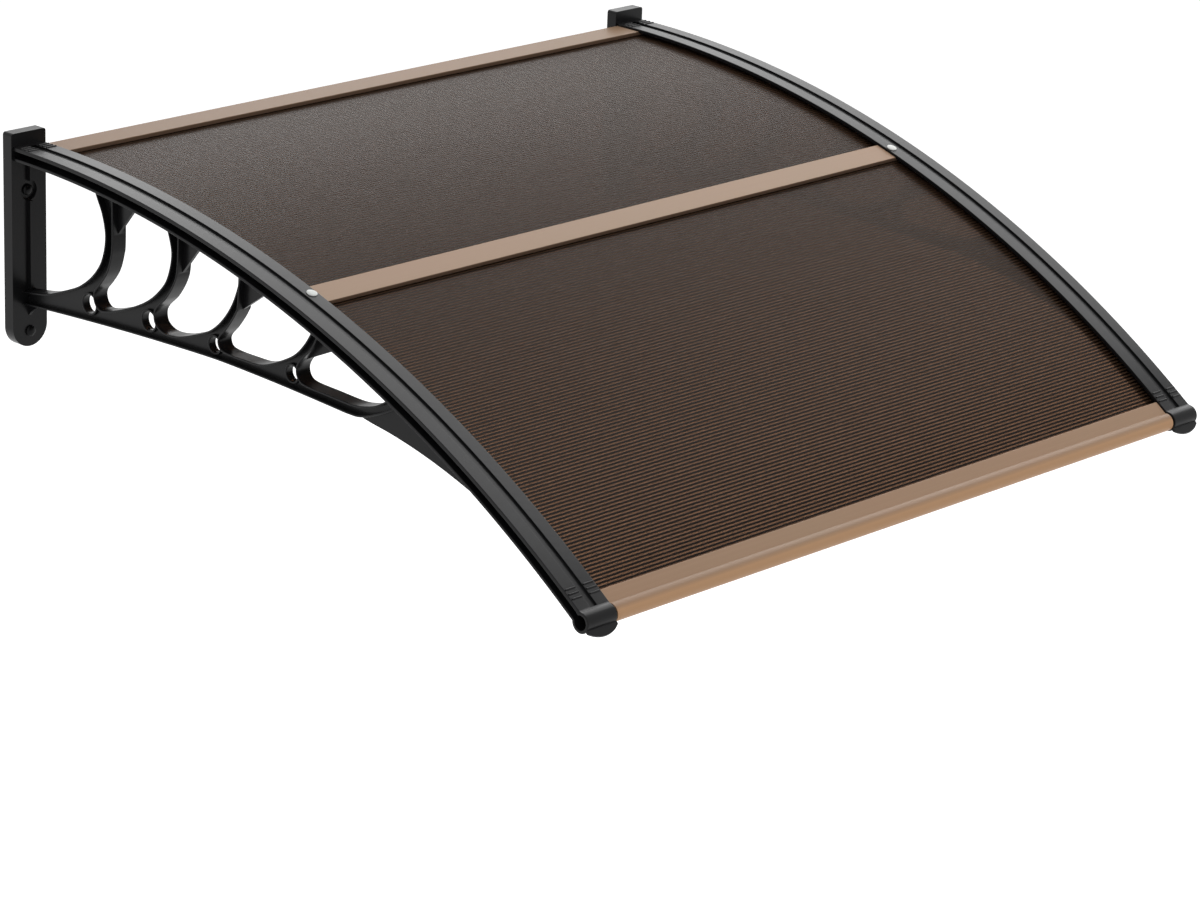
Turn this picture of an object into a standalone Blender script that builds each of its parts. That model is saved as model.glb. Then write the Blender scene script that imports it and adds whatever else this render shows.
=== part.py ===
"""Arched door canopy: two moulded brackets carry two twin-wall sheets, held edge to edge by three bars.

Metres, +Z up. The wall is the plane y = 0 and the canopy reaches out from it along -Y.
x = 0 lies half way between the brackets, and z = 0 is the middle of the sheet slot at the wall.
Side outlines are written as (out, up) in millimetres: out from the wall, up from z = 0.
"""

from math import atan2, ceil, cos, degrees, hypot, pi, radians, sin, sqrt

import bmesh
import bpy
from mathutils import Matrix, Vector

SCROLL_UNIT = 0.001  # one step of the scrollwork's outlines, which are drawn in whole millimetres
FIT = 0.0003  # gap between pieces that touch

# Overall
CANOPY_WIDTH = 1.250  # outer face of one arm to the outer face of the other
ARC_RADIUS = 1.861  # middle of the sheet slot
ARC_CENTRE_OUT = 0.031
KNUCKLE_ANGLE = radians(36.15)  # from the top of the arc to the knuckle's middle
SWEEP_STEP = radians(1.8)
EASE = 0.0005  # how far a facet may stray from the curve it stands for

# Arm of a bracket, a bar of H section bent along the arc
ARM_WIDTH = 0.053
ARM_WEB = 0.005
SLOT_HEIGHT = 0.010
TOP_FLANGE = 0.0055
LOWER_FLANGE = 0.004
FLANGE_CHAMFER = 0.0008
GROOVE_WIDTH = 0.012
GROOVE_DEPTH = 0.003
GROOVE_WALL_GAP = 0.0065  # from the wall plate's front to the groove's start
GROOVE_KNUCKLE_GAP = 0.0112  # from the groove's end to the knuckle's middle

# Grip ridges across the top flange, three near the wall plate and three near the knuckle
RIDGE_COUNT = 3
RIDGE_WIDTH = 0.0032
RIDGE_HEIGHT = 0.0011
RIDGE_EDGE = 0.0022  # bare flange left at each end of a ridge
REAR_RIDGE_START = 0.014  # from the wall plate's front to the first ridge's middle
REAR_RIDGE_PITCH = 0.0080
FRONT_RIDGE_START = 0.0290  # from the knuckle's middle to the first ridge's middle
FRONT_RIDGE_PITCH = 0.0074

# Knuckle at the front end, open to the outer side, and the bow-fronted drip tab on it
KNUCKLE_RADIUS = 0.0143
KNUCKLE_WIDTH = 0.0522
KNUCKLE_PROUD = 0.0004  # how far it stands off the arm's outer face
KNUCKLE_BORE = 0.0098
KNUCKLE_END_WALL = 0.005
KNUCKLE_FILLET = 0.006
TAB_SLOPE = radians(45)
TAB_THICKNESS = 0.0045
TAB_REACH = 0.0266  # from the knuckle's middle to the tab's front edge at its middle
TAB_BOW = 0.042  # radius of the front edge

# Wall plate
PLATE_WIDTH = 0.060
PLATE_DEPTH = 0.0185
PLATE_TOP = 0.0295
PLATE_HEIGHT = 0.311
PLATE_CORNER = 0.004
PLATE_EDGE = 0.0032
UPPER_HOLE_DROP = 0.0845  # from the plate's top to the upper screw
HOLE_SPACING = 0.204  # from the upper screw to the lower one
HOLE_RADIUS = 0.0050
RECESS_RADIUS = 0.0140
RECESS_DEPTH = 0.0045

# Scrollwork under the arm
WEB_THICKNESS = 0.005
RIM_WIDTH = 0.024
RIM_THICKNESS = 0.0026
PLATE_RIB = 0.0056  # how far the web stands off the plate beside the first opening
EYE_RING = 0.003
EYE_DEPTH = 0.0125
EYE_FACETS = 16
EYES = (
    (156.0, -186.0, 13.5),
    (282.0, -179.5, 13.5),
    (417.3, -179.6, 11.0),
    (571.5, -180.8, 11.0),
)  # out, up, radius of the hole

# The rim of each opening from its upper left end, down, along the chord and up to its upper right end
OPENINGS = (
    (
        (24.1, -198.6), (52, -194.6), (72, -190.5), (90, -184.2), (116.6, -173.7), (143.6, -161),
        (170, -140.5), (189, -114.7), (197, -81), (191, -50.6), (178, -25.3), (168, -4),
    ),
    (
        (213, -2), (213.4, -84), (210.3, -107), (202, -129.8), (188, -148.8), (176, -162), (174, -172.5),
        (180, -183), (193, -185.8), (227, -175.9), (262, -161.5), (289, -146.5), (310.7, -128.2),
        (326.2, -107.5), (335, -75), (330, -49), (318, -24),
    ),
    (
        (351, -20), (349, -86), (342.5, -111), (325.4, -136.4), (306, -154.5), (301, -166.5), (306, -179),
        (324, -185.8), (352, -182.9), (385, -171.8), (413, -159.6), (437, -140.3), (457, -113.9),
        (470, -83.5), (478, -50),
    ),
    (
        (474, -46), (471.5, -108), (466, -125), (449, -148.4), (435, -163), (432.3, -171.5), (438, -179.9),
        (456, -182.4), (484, -182.4), (512, -181.5), (533, -175.7), (557, -165), (582, -150.8),
        (600, -133), (613, -114), (624, -92),
    ),
    (
        (636, -96), (619, -131), (604, -147.5), (592, -160), (587.6, -171), (592, -182.3), (606, -187.2),
        (646, -188.6), (692, -190), (716, -187), (738, -180.2), (758, -168.5), (776, -152),
    ),
)
# Triangles of bare web in the upper left corners: where each leaves the rim, and where it meets the arm
GUSSETS = (None, (-69, 257), (-92, 392), (-115, 530), (-155, 650))

CHORD_BOTTOM = (
    (6, -220), (45, -216.8), (100, -212.4), (200, -206), (300, -201), (400, -197.4), (455, -197), (550, -199.3),
    (640, -203.2), (686, -205.3), (711, -203.6), (740, -193.5), (772, -178), (800, -160),
)
# Lower edge of the plain web that runs on past the last opening
FIN_BOTTOM = (
    (700, -206.5), (720, -210.2), (757.4, -215.4), (795, -222.5), (832.3, -231.2), (869.3, -241.6),
    (906, -253.5), (950, -270), (1016, -292),
)
PLATE_FILLET = ((12, -246), (24.5, -229.5), (45, -216.8))

# Sheets
SHEET_THICKNESS = 0.004
SHEET_SKIN = 0.0004
FLUTE_PITCH = 0.0055
FLUTE_WALL = 0.0005
SHEET_SIDE_PLAY = 0.001  # from a sheet's or a bar's end to the arm's web

# Bars
BAR_WALL = 0.0010
REAR_BAR_WIDTH = 0.0475
MIDDLE_BAR_WIDTH = 0.0395
MIDDLE_BAR_ANGLE = radians(17.15)
BAR_TOP = 0.0072  # the upper face's height over the slot's middle
BAR_SPINE = 0.0016  # upright wall between or behind the sheets
SHEET_GRIP = 0.0160  # how deep a sheet goes into the rear and front bars
BAR_ARM_GAP = 0.0010  # from the upper part of a bar to the arm's side
FRONT_BAND_BACK = 0.0312  # from the knuckle's middle back to the band's edge
FRONT_BAND_TOP = 0.0085
NOSE_RADIUS = 0.0126
NOSE_WALL = 0.0013
NOSE_ARM_GAP = 0.0015

# Fasteners
BAR_SCREW_EDGE = 0.0095  # from the arm's inner face to the screw's middle
BAR_SCREW_HEAD = 0.0075
BAR_SCREW_DOME = 0.0023
BAR_SCREW_SHANK = 0.0020
SHANK_PLAY = 0.0004
CAP_RADIUS = 0.0080
CAP_DOME = 0.0045
CAP_STEM = 0.0100
CAP_STEM_PLAY = 0.0003
CAP_CLEARANCE = 0.0005  # kept free round a cap, where the scrollwork comes near

ARM_FACE = CANOPY_WIDTH / 2
ARM_MIDDLE = ARM_FACE - ARM_WIDTH / 2
ARM_INNER = ARM_FACE - ARM_WIDTH
BAR_SCREW_SIDE = ARM_INNER + BAR_SCREW_EDGE
ARM_TOP = SLOT_HEIGHT / 2 + TOP_FLANGE
ARM_UNDER = -SLOT_HEIGHT / 2 - LOWER_FLANGE
SLOT_FLOOR = -SLOT_HEIGHT / 2 + FIT
SLOT_ROOF = SLOT_HEIGHT / 2 - 2 * FIT
SHEET_UNDER = SLOT_FLOOR + BAR_WALL + FIT
SHEET_TOP = SHEET_UNDER + SHEET_THICKNESS
SPAN_HALF = ARM_MIDDLE - ARM_WEB / 2 - SHEET_SIDE_PLAY
SIDE_VIEW = Matrix(((0, 0, -1, 0), (-1, 0, 0, 0), (0, 1, 0, 0), (0, 0, 0, 1)))
BURIED = 0.0015  # how deep joined shapes run into each other

bracket_plastic = {"colour": (0.020, 0.020, 0.021), "roughness": 0.38}
sheet_plastic = {"colour": (0.085, 0.050, 0.036), "roughness": 0.25, "alpha": 0.75}
bar_paint = {"colour": (0.42, 0.29, 0.21), "roughness": 0.42}
screw_paint = {"colour": (0.85, 0.85, 0.84), "roughness": 0.35}


def clear_scene():
    for item in list(bpy.data.objects):
        bpy.data.objects.remove(item, do_unlink=True)


def new_collection(name):
    collection = bpy.data.collections.new(name)
    bpy.context.scene.collection.children.link(collection)
    return collection


def finish(name, colour, roughness, metallic=0.0, alpha=1.0):
    """A plain surface of its own for one piece."""
    material = bpy.data.materials.new(name)
    material.use_nodes = True
    shader = material.node_tree.nodes["Principled BSDF"]
    shader.inputs["Base Color"].default_value = (*colour, 1)
    shader.inputs["Roughness"].default_value = roughness
    shader.inputs["Metallic"].default_value = metallic
    shader.inputs["Alpha"].default_value = alpha
    return material


def helper(name, bm):
    """A mesh that only shapes another piece."""
    mesh = bpy.data.meshes.new(name)
    bm.to_mesh(mesh)
    bm.free()
    item = bpy.data.objects.new(name, mesh)
    helpers.objects.link(item)
    item.hide_render = True
    item.display_type = "WIRE"
    return item


def solid_of(curve_data, matrix):
    """A curve turned into a closed mesh in world space, its caps welded on."""
    holder = bpy.data.objects.new("outline", curve_data)
    helpers.objects.link(holder)
    holder.matrix_world = matrix
    bpy.context.view_layer.update()
    graph = bpy.context.evaluated_depsgraph_get()
    mesh = bpy.data.meshes.new_from_object(holder.evaluated_get(graph))
    bm = bmesh.new()
    bm.from_mesh(mesh)
    bmesh.ops.transform(bm, matrix=matrix, verts=bm.verts)
    bmesh.ops.remove_doubles(bm, verts=bm.verts, dist=1e-6)
    bmesh.ops.recalc_face_normals(bm, faces=bm.faces)
    bpy.data.objects.remove(holder)
    bpy.data.meshes.remove(mesh)
    return bm


def extruded(outlines, thickness, matrix):
    """A flat outline, with any holes in it, given a thickness along its normal."""
    curve = bpy.data.curves.new("outline", "CURVE")
    curve.dimensions = "2D"
    curve.fill_mode = "BOTH"
    curve.extrude = thickness / 2
    for outline in outlines:
        spline = curve.splines.new("POLY")
        spline.points.add(len(outline) - 1)
        for point, (across, up) in zip(spline.points, outline):
            point.co = (across, up, 0, 1)
        spline.use_cyclic_u = True
    return solid_of(curve, matrix)


def side_solid(outlines, x_from, x_to, frame=None):
    """A side outline in metres, extruded from one x to the other, in the frame of the arc if one is given."""
    matrix = Matrix.Translation(((x_from + x_to) / 2, 0, 0)) @ (frame or Matrix()) @ SIDE_VIEW
    return extruded(outlines, abs(x_to - x_from), matrix)


def metres(points):
    return [(across * SCROLL_UNIT, up * SCROLL_UNIT) for across, up in points]


def stray(point, start, end):
    """How far a point lies from the line between two others."""
    run = (end[0] - start[0], end[1] - start[1])
    return abs(run[0] * (point[1] - start[1]) - run[1] * (point[0] - start[0])) / hypot(*run)


def thinned(path):
    """The path with every point left out that a straight facet may skip."""
    kept = [path[0]]
    first = 0
    for last in range(2, len(path)):
        if any(stray(p, path[first], path[last]) > EASE for p in path[first + 1 : last]):
            first = last - 1
            kept.append(path[first])
    return [*kept, path[-1]]


def smooth_path(points, steps=6):
    """A Catmull-Rom curve through the points, thinned to as few facets as it needs."""
    ends = [points[0], *points, points[-1]]
    path = []
    for a, b, c, d in zip(ends, ends[1:], ends[2:], ends[3:]):
        for step in range(steps):
            t = step / steps
            weights = (
                (-t + 2 * t * t - t ** 3) / 2,
                (2 - 5 * t * t + 3 * t ** 3) / 2,
                (t + 4 * t * t - 3 * t ** 3) / 2,
                (-t * t + t ** 3) / 2,
            )
            path.append(tuple(sum(w * p[i] for w, p in zip(weights, (a, b, c, d))) for i in (0, 1)))
    return thinned([*path, points[-1]])


def offset_path(path, distance):
    """The path moved to its right by a distance."""
    moved = []
    for i, point in enumerate(path):
        before = path[max(i - 1, 0)]
        after = path[min(i + 1, len(path) - 1)]
        run = (after[0] - before[0], after[1] - before[1])
        size = hypot(*run)
        moved.append((point[0] + run[1] / size * distance, point[1] - run[0] / size * distance))
    return moved


def circle(centre, radius, count, start=0.0, end=2 * pi):
    """Points round a circle, or along an arc of it that takes in both ends."""
    whole = end - start >= 2 * pi
    steps = count if whole else count - 1
    turns = [start + (end - start) * i / steps for i in range(count)]
    return [(centre[0] + radius * cos(t), centre[1] + radius * sin(t)) for t in turns]


def arc_height(out, over):
    """Height of the arc, raised by a distance square to it, at a distance out from the wall."""
    radius = ARC_RADIUS + over
    return sqrt(radius ** 2 - (out - ARC_CENTRE_OUT) ** 2) - ARC_RADIUS


def height_over_arc(out, up):
    return hypot(out - ARC_CENTRE_OUT, up + ARC_RADIUS) - ARC_RADIUS


def arc_frame(angle):
    """A frame whose side view has its origin on the arc: out runs along the arc and up is square to it."""
    centre = Vector((0, -ARC_CENTRE_OUT, -ARC_RADIUS))
    turn = Matrix.Rotation(angle, 4, "X")
    return Matrix.Translation(centre) @ turn @ Matrix.Translation((0, 0, ARC_RADIUS))


def angle_at(out):
    return atan2(out - ARC_CENTRE_OUT, ARC_RADIUS)


def along(distance):
    """The angle that a distance along the arc takes up."""
    return distance / ARC_RADIUS


def swept(section, x_middle, angle_from, angle_to):
    """A section, as (across, over the arc), carried along the arc."""
    start = Matrix.Translation((x_middle, 0, 0)) @ arc_frame(angle_from)
    bm = bmesh.new()
    corners = [bm.verts.new(start @ Vector((across, 0, over))) for across, over in section]
    face = bm.faces.new(corners)
    bmesh.ops.spin(
        bm,
        geom=[face, *face.edges, *face.verts],
        cent=(0, -ARC_CENTRE_OUT, -ARC_RADIUS),
        axis=(1, 0, 0),
        angle=angle_to - angle_from,
        steps=max(1, ceil((angle_to - angle_from) / SWEEP_STEP)),
        use_duplicate=False,
    )
    bmesh.ops.recalc_face_normals(bm, faces=bm.faces)
    return bm


def cylinder(centre, axis, radius, length, segments=32, top_radius=None):
    bm = bmesh.new()
    bmesh.ops.create_cone(
        bm,
        cap_ends=True,
        segments=segments,
        radius1=radius,
        radius2=radius if top_radius is None else top_radius,
        depth=length,
    )
    turn = Vector((0, 0, 1)).rotation_difference(Vector(axis)).to_matrix().to_4x4()
    bmesh.ops.transform(bm, matrix=Matrix.Translation(centre) @ turn, verts=bm.verts)
    return bm


def box(low, high, frame=None):
    bm = bmesh.new()
    bmesh.ops.create_cube(bm, size=1)
    size = [b - a for a, b in zip(low, high)]
    middle = [(a + b) / 2 for a, b in zip(low, high)]
    matrix = (frame or Matrix()) @ Matrix.Translation(middle) @ Matrix.Diagonal((*size, 1))
    bmesh.ops.transform(bm, matrix=matrix, verts=bm.verts)
    return bm


def combine(target, tool, operation):
    modifier = target.modifiers.new(tool.name, "BOOLEAN")
    modifier.operation = operation
    modifier.solver = "EXACT"
    modifier.object = tool


def piece(name, source, surface, sharp_angle=radians(28)):
    """A named piece: a finished mesh from a shaped helper, with a surface of its own."""
    bpy.context.view_layer.update()
    graph = bpy.context.evaluated_depsgraph_get()
    mesh = bpy.data.meshes.new_from_object(source.evaluated_get(graph))
    mesh.name = name
    mesh.materials.clear()
    mesh.materials.append(finish(name, **surface))
    mesh.shade_smooth()
    mesh.set_sharp_from_angle(angle=sharp_angle)
    item = bpy.data.objects.new(name, mesh)
    canopy.objects.link(item)
    return item


def arm_section():
    half = ARM_WIDTH / 2
    web = ARM_WEB / 2
    slot = SLOT_HEIGHT / 2
    cut = FLANGE_CHAMFER
    right = [
        (half - cut, ARM_UNDER),
        (half, ARM_UNDER + cut),
        (half, -slot),
        (web, -slot),
        (web, slot),
        (half, slot),
        (half, ARM_TOP - cut),
        (half - cut, ARM_TOP),
    ]
    return right + [(-across, over) for across, over in reversed(right)]


def plate_outline():
    """The wall plate from the front: square at the top with eased corners, a half circle at the foot."""
    half = PLATE_WIDTH / 2
    foot = PLATE_TOP - PLATE_HEIGHT + half
    corner = PLATE_CORNER
    top = PLATE_TOP - corner
    return [
        *circle((0, foot), half, 17, pi, 2 * pi),
        *circle((half - corner, top), corner, 4, 0, pi / 2),
        *circle((corner - half, top), corner, 4, pi / 2, pi),
    ]


def wall_plate():
    """The plate with its front edge rounded over."""
    front_view = Matrix(((1, 0, 0, -ARM_MIDDLE), (0, 0, -1, -PLATE_DEPTH / 2), (0, 1, 0, 0), (0, 0, 0, 1)))
    bm = extruded([plate_outline()], PLATE_DEPTH, front_view)
    rim = [e for e in bm.edges if all(v.co.y < -PLATE_DEPTH + 1e-5 for v in e.verts)]
    rim = [e for e in rim if any(abs(f.normal.y) < 0.5 for f in e.link_faces)]
    bmesh.ops.bevel(bm, geom=rim, offset=PLATE_EDGE, segments=2, profile=0.5, affect="EDGES", clamp_overlap=True)
    return helper("wall_plate", bm)


def under_arm(path, over):
    """The part of a path that lies under the arc, raised by a distance, and ends where it meets it."""
    rise = [height_over_arc(*point) - over for point in path]
    kept = []
    for start, end, rise_a, rise_b in zip(path, path[1:], rise, rise[1:]):
        if rise_a < 0:
            kept.append(start)
        if rise_a * rise_b < 0:
            share = rise_a / (rise_a - rise_b)
            kept.append(tuple(a + (b - a) * share for a, b in zip(start, end)))
    return [*kept, path[-1]] if rise[-1] < 0 else kept


def opening_outline(path, gusset):
    """An opening as it goes through the web, closed by the arm along its top."""
    buried = ARM_UNDER + BURIED
    path = under_arm(path, buried)
    if gusset:
        rim_up, arm_out = gusset
        below = next(i for i, p in enumerate(path) if p[1] < rim_up * SCROLL_UNIT)
        above, under = path[below - 1], path[below]
        share = (above[1] - rim_up * SCROLL_UNIT) / (above[1] - under[1])
        foot = (above[0] + (under[0] - above[0]) * share, rim_up * SCROLL_UNIT)
        path = [(arm_out * SCROLL_UNIT, arc_height(arm_out * SCROLL_UNIT, buried)), foot, *path[below:]]
    first, last = path[0][0], path[-1][0]
    top = [last + (first - last) * i / 3 for i in range(4)]
    return [*path, *((out, arc_height(out, buried)) for out in top[1:-1])]


def web_outline():
    """The web's edge: along the plate, the chord, the fin and back inside the arm's lower flange."""
    buried = ARM_UNDER + 2 * BURIED
    chord = offset_path(smooth_path(metres(CHORD_BOTTOM)), -RIM_THICKNESS / 2)
    chord = [p for p in chord if PLATE_FILLET[-1][0] * SCROLL_UNIT < p[0] < FIN_BOTTOM[0][0] * SCROLL_UNIT]
    fin = under_arm(smooth_path(metres(FIN_BOTTOM)), buried)
    low = [*smooth_path(metres(PLATE_FILLET)), *chord, *fin]
    start, end = low[0][0], low[-1][0]
    top = [end + (start - end) * i / 14 for i in range(15)]
    return [*low, *((out, arc_height(out, buried)) for out in top)]


def strip(path, side):
    """A thin band beside a path, on its right for side 1 and on its left for side -1."""
    return [*path, *reversed(offset_path(path, side * RIM_THICKNESS))]


def scrollwork():
    """The panel under the arm: a web, and all that stands out from it."""
    centre = -ARM_MIDDLE
    paths = [smooth_path(metres(points)) for points in OPENINGS]
    web_edges = [offset_path(path, RIM_THICKNESS / 2) for path in paths]
    holes = [opening_outline(edge, gusset) for edge, gusset in zip(web_edges, GUSSETS)]
    first = holes[0]
    holes[0] = [(PLATE_DEPTH + PLATE_RIB, arc_height(PLATE_DEPTH, ARM_UNDER + BURIED)), *first]
    panel = helper("web", side_solid([web_outline(), *holes], centre - WEB_THICKNESS / 2, centre + WEB_THICKNESS / 2))
    tools = []
    lead_in = (PLATE_DEPTH - 2 * BURIED, paths[0][0][1] - BURIED)
    paths[0] = [lead_in, *paths[0]]
    for number, path in enumerate(paths, 1):
        rim = strip(under_arm(path, ARM_UNDER + 2 * BURIED), 1)
        solid = side_solid([rim], centre - RIM_WIDTH / 2, centre + RIM_WIDTH / 2)
        tools.append(helper(f"rim_{number}", solid))
    chord = under_arm(smooth_path(metres(CHORD_BOTTOM)), ARM_UNDER + 2 * BURIED)
    solid = side_solid([strip(chord, -1)], centre - RIM_WIDTH / 2, centre + RIM_WIDTH / 2)
    tools.append(helper("chord_flange", solid))
    for number, (out, up, radius) in enumerate(EYES, 1):
        middle = (centre, -out * SCROLL_UNIT, up * SCROLL_UNIT)
        ring = cylinder(middle, (1, 0, 0), radius * SCROLL_UNIT + EYE_RING, EYE_DEPTH, EYE_FACETS)
        tools.append(helper(f"eye_{number}", ring))
    for tool in tools:
        combine(panel, tool, "UNION")
    return panel


def knuckle_frame(slope):
    """A frame on the knuckle's axis whose side view points down and out at a slope."""
    middle = arc_frame(KNUCKLE_ANGLE).translation
    return Matrix.Translation(middle) @ Matrix.Rotation(slope, 4, "X")


def drip_tab():
    """A flat tab under the front of the knuckle, its front edge a shallow bow."""
    half = ARM_WIDTH / 2
    open_angle = pi / 2 - atan2(half, sqrt(TAB_BOW ** 2 - half ** 2))
    bow = circle((0, TAB_REACH - TAB_BOW), TAB_BOW, 13, open_angle, pi - open_angle)
    plan = Matrix(((1, 0, 0, -ARM_MIDDLE), (0, -1, 0, 0), (0, 0, -1, TAB_THICKNESS / 2 - BURIED / 3), (0, 0, 0, 1)))
    return helper("drip_tab", extruded([[(-half, 0), (half, 0), *bow]], TAB_THICKNESS, knuckle_frame(TAB_SLOPE) @ plan))


def knuckle_fillet():
    """The hollow curve between the top flange and the knuckle."""
    radius = KNUCKLE_FILLET
    centre_over = ARM_TOP + radius
    centre_out = -sqrt((KNUCKLE_RADIUS + radius) ** 2 - centre_over ** 2)
    hollow = circle((centre_out, centre_over), radius, 5, -pi / 2, atan2(-centre_over, -centre_out))
    outline = [(centre_out, ARM_TOP - BURIED), (0, ARM_TOP - BURIED), *reversed(hollow)]
    ends = (FLANGE_CHAMFER / 2 - ARM_FACE, KNUCKLE_WIDTH - FLANGE_CHAMFER - ARM_FACE)
    return helper("knuckle_fillet", side_solid([outline], *ends, arc_frame(KNUCKLE_ANGLE)))


def slot_mouth():
    """The outer slot, carried on through the knuckle's wall into its bore."""
    low = (-ARM_FACE - BURIED, KNUCKLE_BORE - BURIED, -SLOT_HEIGHT / 2)
    high = (-ARM_MIDDLE - ARM_WEB / 2, KNUCKLE_RADIUS + BURIED, SLOT_HEIGHT / 2)
    return helper("slot_mouth", box(low, high, arc_frame(KNUCKLE_ANGLE)))


def ridges():
    """Grip ridges on both halves of the top flange, at both ends of the arm."""
    plate_angle = angle_at(PLATE_DEPTH)
    rows = [plate_angle + along(REAR_RIDGE_START + i * REAR_RIDGE_PITCH) for i in range(RIDGE_COUNT)]
    rows += [KNUCKLE_ANGLE - along(FRONT_RIDGE_START + i * FRONT_RIDGE_PITCH) for i in range(RIDGE_COUNT)]
    low = ARM_TOP - BURIED
    high = ARM_TOP + RIDGE_HEIGHT
    half = RIDGE_WIDTH / 2
    outline = [(-half, low), (half, low), (half, ARM_TOP), (half / 3, high), (-half / 3, high), (-half, ARM_TOP)]
    inner = GROOVE_WIDTH / 2 + RIDGE_EDGE / 2
    outer = ARM_WIDTH / 2 - RIDGE_EDGE
    tools = []
    for number, angle in enumerate(rows, 1):
        for side in (-1, 1):
            ends = (-ARM_MIDDLE + side * inner, -ARM_MIDDLE + side * outer)
            solid = side_solid([outline], min(ends), max(ends), arc_frame(angle))
            tools.append(helper(f"ridge_{number}", solid))
    return tools


def screw_places():
    """Heights of a wall plate's upper and lower screws."""
    upper = PLATE_TOP - UPPER_HOLE_DROP
    return upper, upper - HOLE_SPACING


def make_bracket():
    """The left bracket, one moulding: wall plate, arm, scrollwork, knuckle and drip tab."""
    start = angle_at(PLATE_DEPTH - 4 * BURIED)
    bracket = helper("bracket", swept(arm_section(), -ARM_MIDDLE, start, KNUCKLE_ANGLE))
    knuckle_middle = arc_frame(KNUCKLE_ANGLE) @ Vector((KNUCKLE_WIDTH / 2 - KNUCKLE_PROUD - ARM_FACE, 0, 0))
    knuckle = helper("knuckle", cylinder(knuckle_middle, (1, 0, 0), KNUCKLE_RADIUS, KNUCKLE_WIDTH, 36))
    for tool in (wall_plate(), knuckle, drip_tab(), knuckle_fillet(), scrollwork(), *ridges()):
        combine(bracket, tool, "UNION")

    half = GROOVE_WIDTH / 2
    low = ARM_TOP - GROOVE_DEPTH
    section = [(-half, low), (half, low), (half, ARM_TOP + BURIED), (-half, ARM_TOP + BURIED)]
    groove_start = angle_at(PLATE_DEPTH + GROOVE_WALL_GAP)
    groove = swept(section, -ARM_MIDDLE, groove_start, KNUCKLE_ANGLE - along(GROOVE_KNUCKLE_GAP))
    cutters = [helper("groove", groove)]
    bore_middle = knuckle_middle - Vector((KNUCKLE_END_WALL, 0, 0))
    cutters.append(helper("bore", cylinder(bore_middle, (1, 0, 0), KNUCKLE_BORE, KNUCKLE_WIDTH, 28)))
    cutters.append(slot_mouth())
    for number, (out, up, radius) in enumerate(EYES, 1):
        middle = (-ARM_MIDDLE, -out * SCROLL_UNIT, up * SCROLL_UNIT)
        cutters.append(helper(f"eye_hole_{number}", cylinder(middle, (1, 0, 0), radius * SCROLL_UNIT, 2 * EYE_DEPTH, EYE_FACETS)))
    for number, up in enumerate(screw_places(), 1):
        middle = (-ARM_MIDDLE, -PLATE_DEPTH / 2, up)
        cutters.append(helper(f"hole_{number}", cylinder(middle, (0, 1, 0), HOLE_RADIUS, 2 * PLATE_DEPTH, 20)))
    recess_out = PLATE_DEPTH - RECESS_DEPTH
    recess_middle = (-ARM_MIDDLE, -recess_out - PLATE_RIB, screw_places()[0])
    recess = cylinder(recess_middle, (0, 1, 0), RECESS_RADIUS, 2 * PLATE_RIB, 28)
    cutters.append(helper("recess", recess))
    cap_room = cylinder(
        (-ARM_MIDDLE, -PLATE_DEPTH - CAP_DOME, screw_places()[1]),
        (0, 1, 0),
        CAP_RADIUS + CAP_CLEARANCE,
        2 * CAP_DOME - 2 * EASE,
        28,
    )
    cutters.append(helper("cap_room", cap_room))
    bar_screw = arc_frame(MIDDLE_BAR_ANGLE) @ Vector((-BAR_SCREW_SIDE, 0, ARM_TOP))
    axis = arc_frame(MIDDLE_BAR_ANGLE).to_3x3() @ Vector((0, 0, 1))
    hole = cylinder(bar_screw, axis, BAR_SCREW_SHANK + SHANK_PLAY, 2 * TOP_FLANGE + SLOT_HEIGHT, 16)
    cutters.append(helper("bar_screw_hole", hole))
    for cutter in cutters:
        combine(bracket, cutter, "DIFFERENCE")
    return bracket


def fluted_section(angle_from, angle_to):
    """A twin-wall sheet bent along the arc: its outline, and one hole for each flute.

    The bend is made of straight facets of whole flutes, so that the flutes lie evenly between the skins.
    """
    per_facet = round(SWEEP_STEP * ARC_RADIUS / FLUTE_PITCH)
    facets = round((angle_to - angle_from) * ARC_RADIUS / (FLUTE_PITCH * per_facet))
    bends = [angle_from + (angle_to - angle_from) * i / facets for i in range(facets + 1)]
    wall = FLUTE_WALL / FLUTE_PITCH / per_facet / 2

    def on_arc(angle, over):
        radius = ARC_RADIUS + over
        return (ARC_CENTRE_OUT + radius * sin(angle), radius * cos(angle) - ARC_RADIUS)

    def on_facet(start, end, share, over):
        ends = zip(on_arc(start, over), on_arc(end, over))
        return tuple(a + (b - a) * share for a, b in ends)

    outline = [on_arc(t, SHEET_UNDER) for t in bends] + [on_arc(t, SHEET_TOP) for t in reversed(bends)]
    low = SHEET_UNDER + SHEET_SKIN
    high = SHEET_TOP - SHEET_SKIN
    flutes = []
    for start, end in zip(bends, bends[1:]):
        for i in range(per_facet):
            sides = (i / per_facet + wall, (i + 1) / per_facet - wall)
            corners = ((sides[0], low), (sides[1], low), (sides[1], high), (sides[0], high))
            flutes.append([on_facet(start, end, share, over) for share, over in corners])
    return [outline, *flutes]


def make_sheet(name, angle_from, angle_to):
    solid = side_solid(fluted_section(angle_from, angle_to), -SPAN_HALF, SPAN_HALF)
    return piece(name, helper(name + "_form", solid), sheet_plastic, radians(10))


def bent(outline):
    """An outline in the frame of the arc, laid along the bend instead of on its tangent."""
    return [(out, over - out ** 2 / (2 * ARC_RADIUS)) for out, over in outline]


def rectangle(low, high):
    return [low, (high[0], low[1]), high, (low[0], high[1])]


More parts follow.
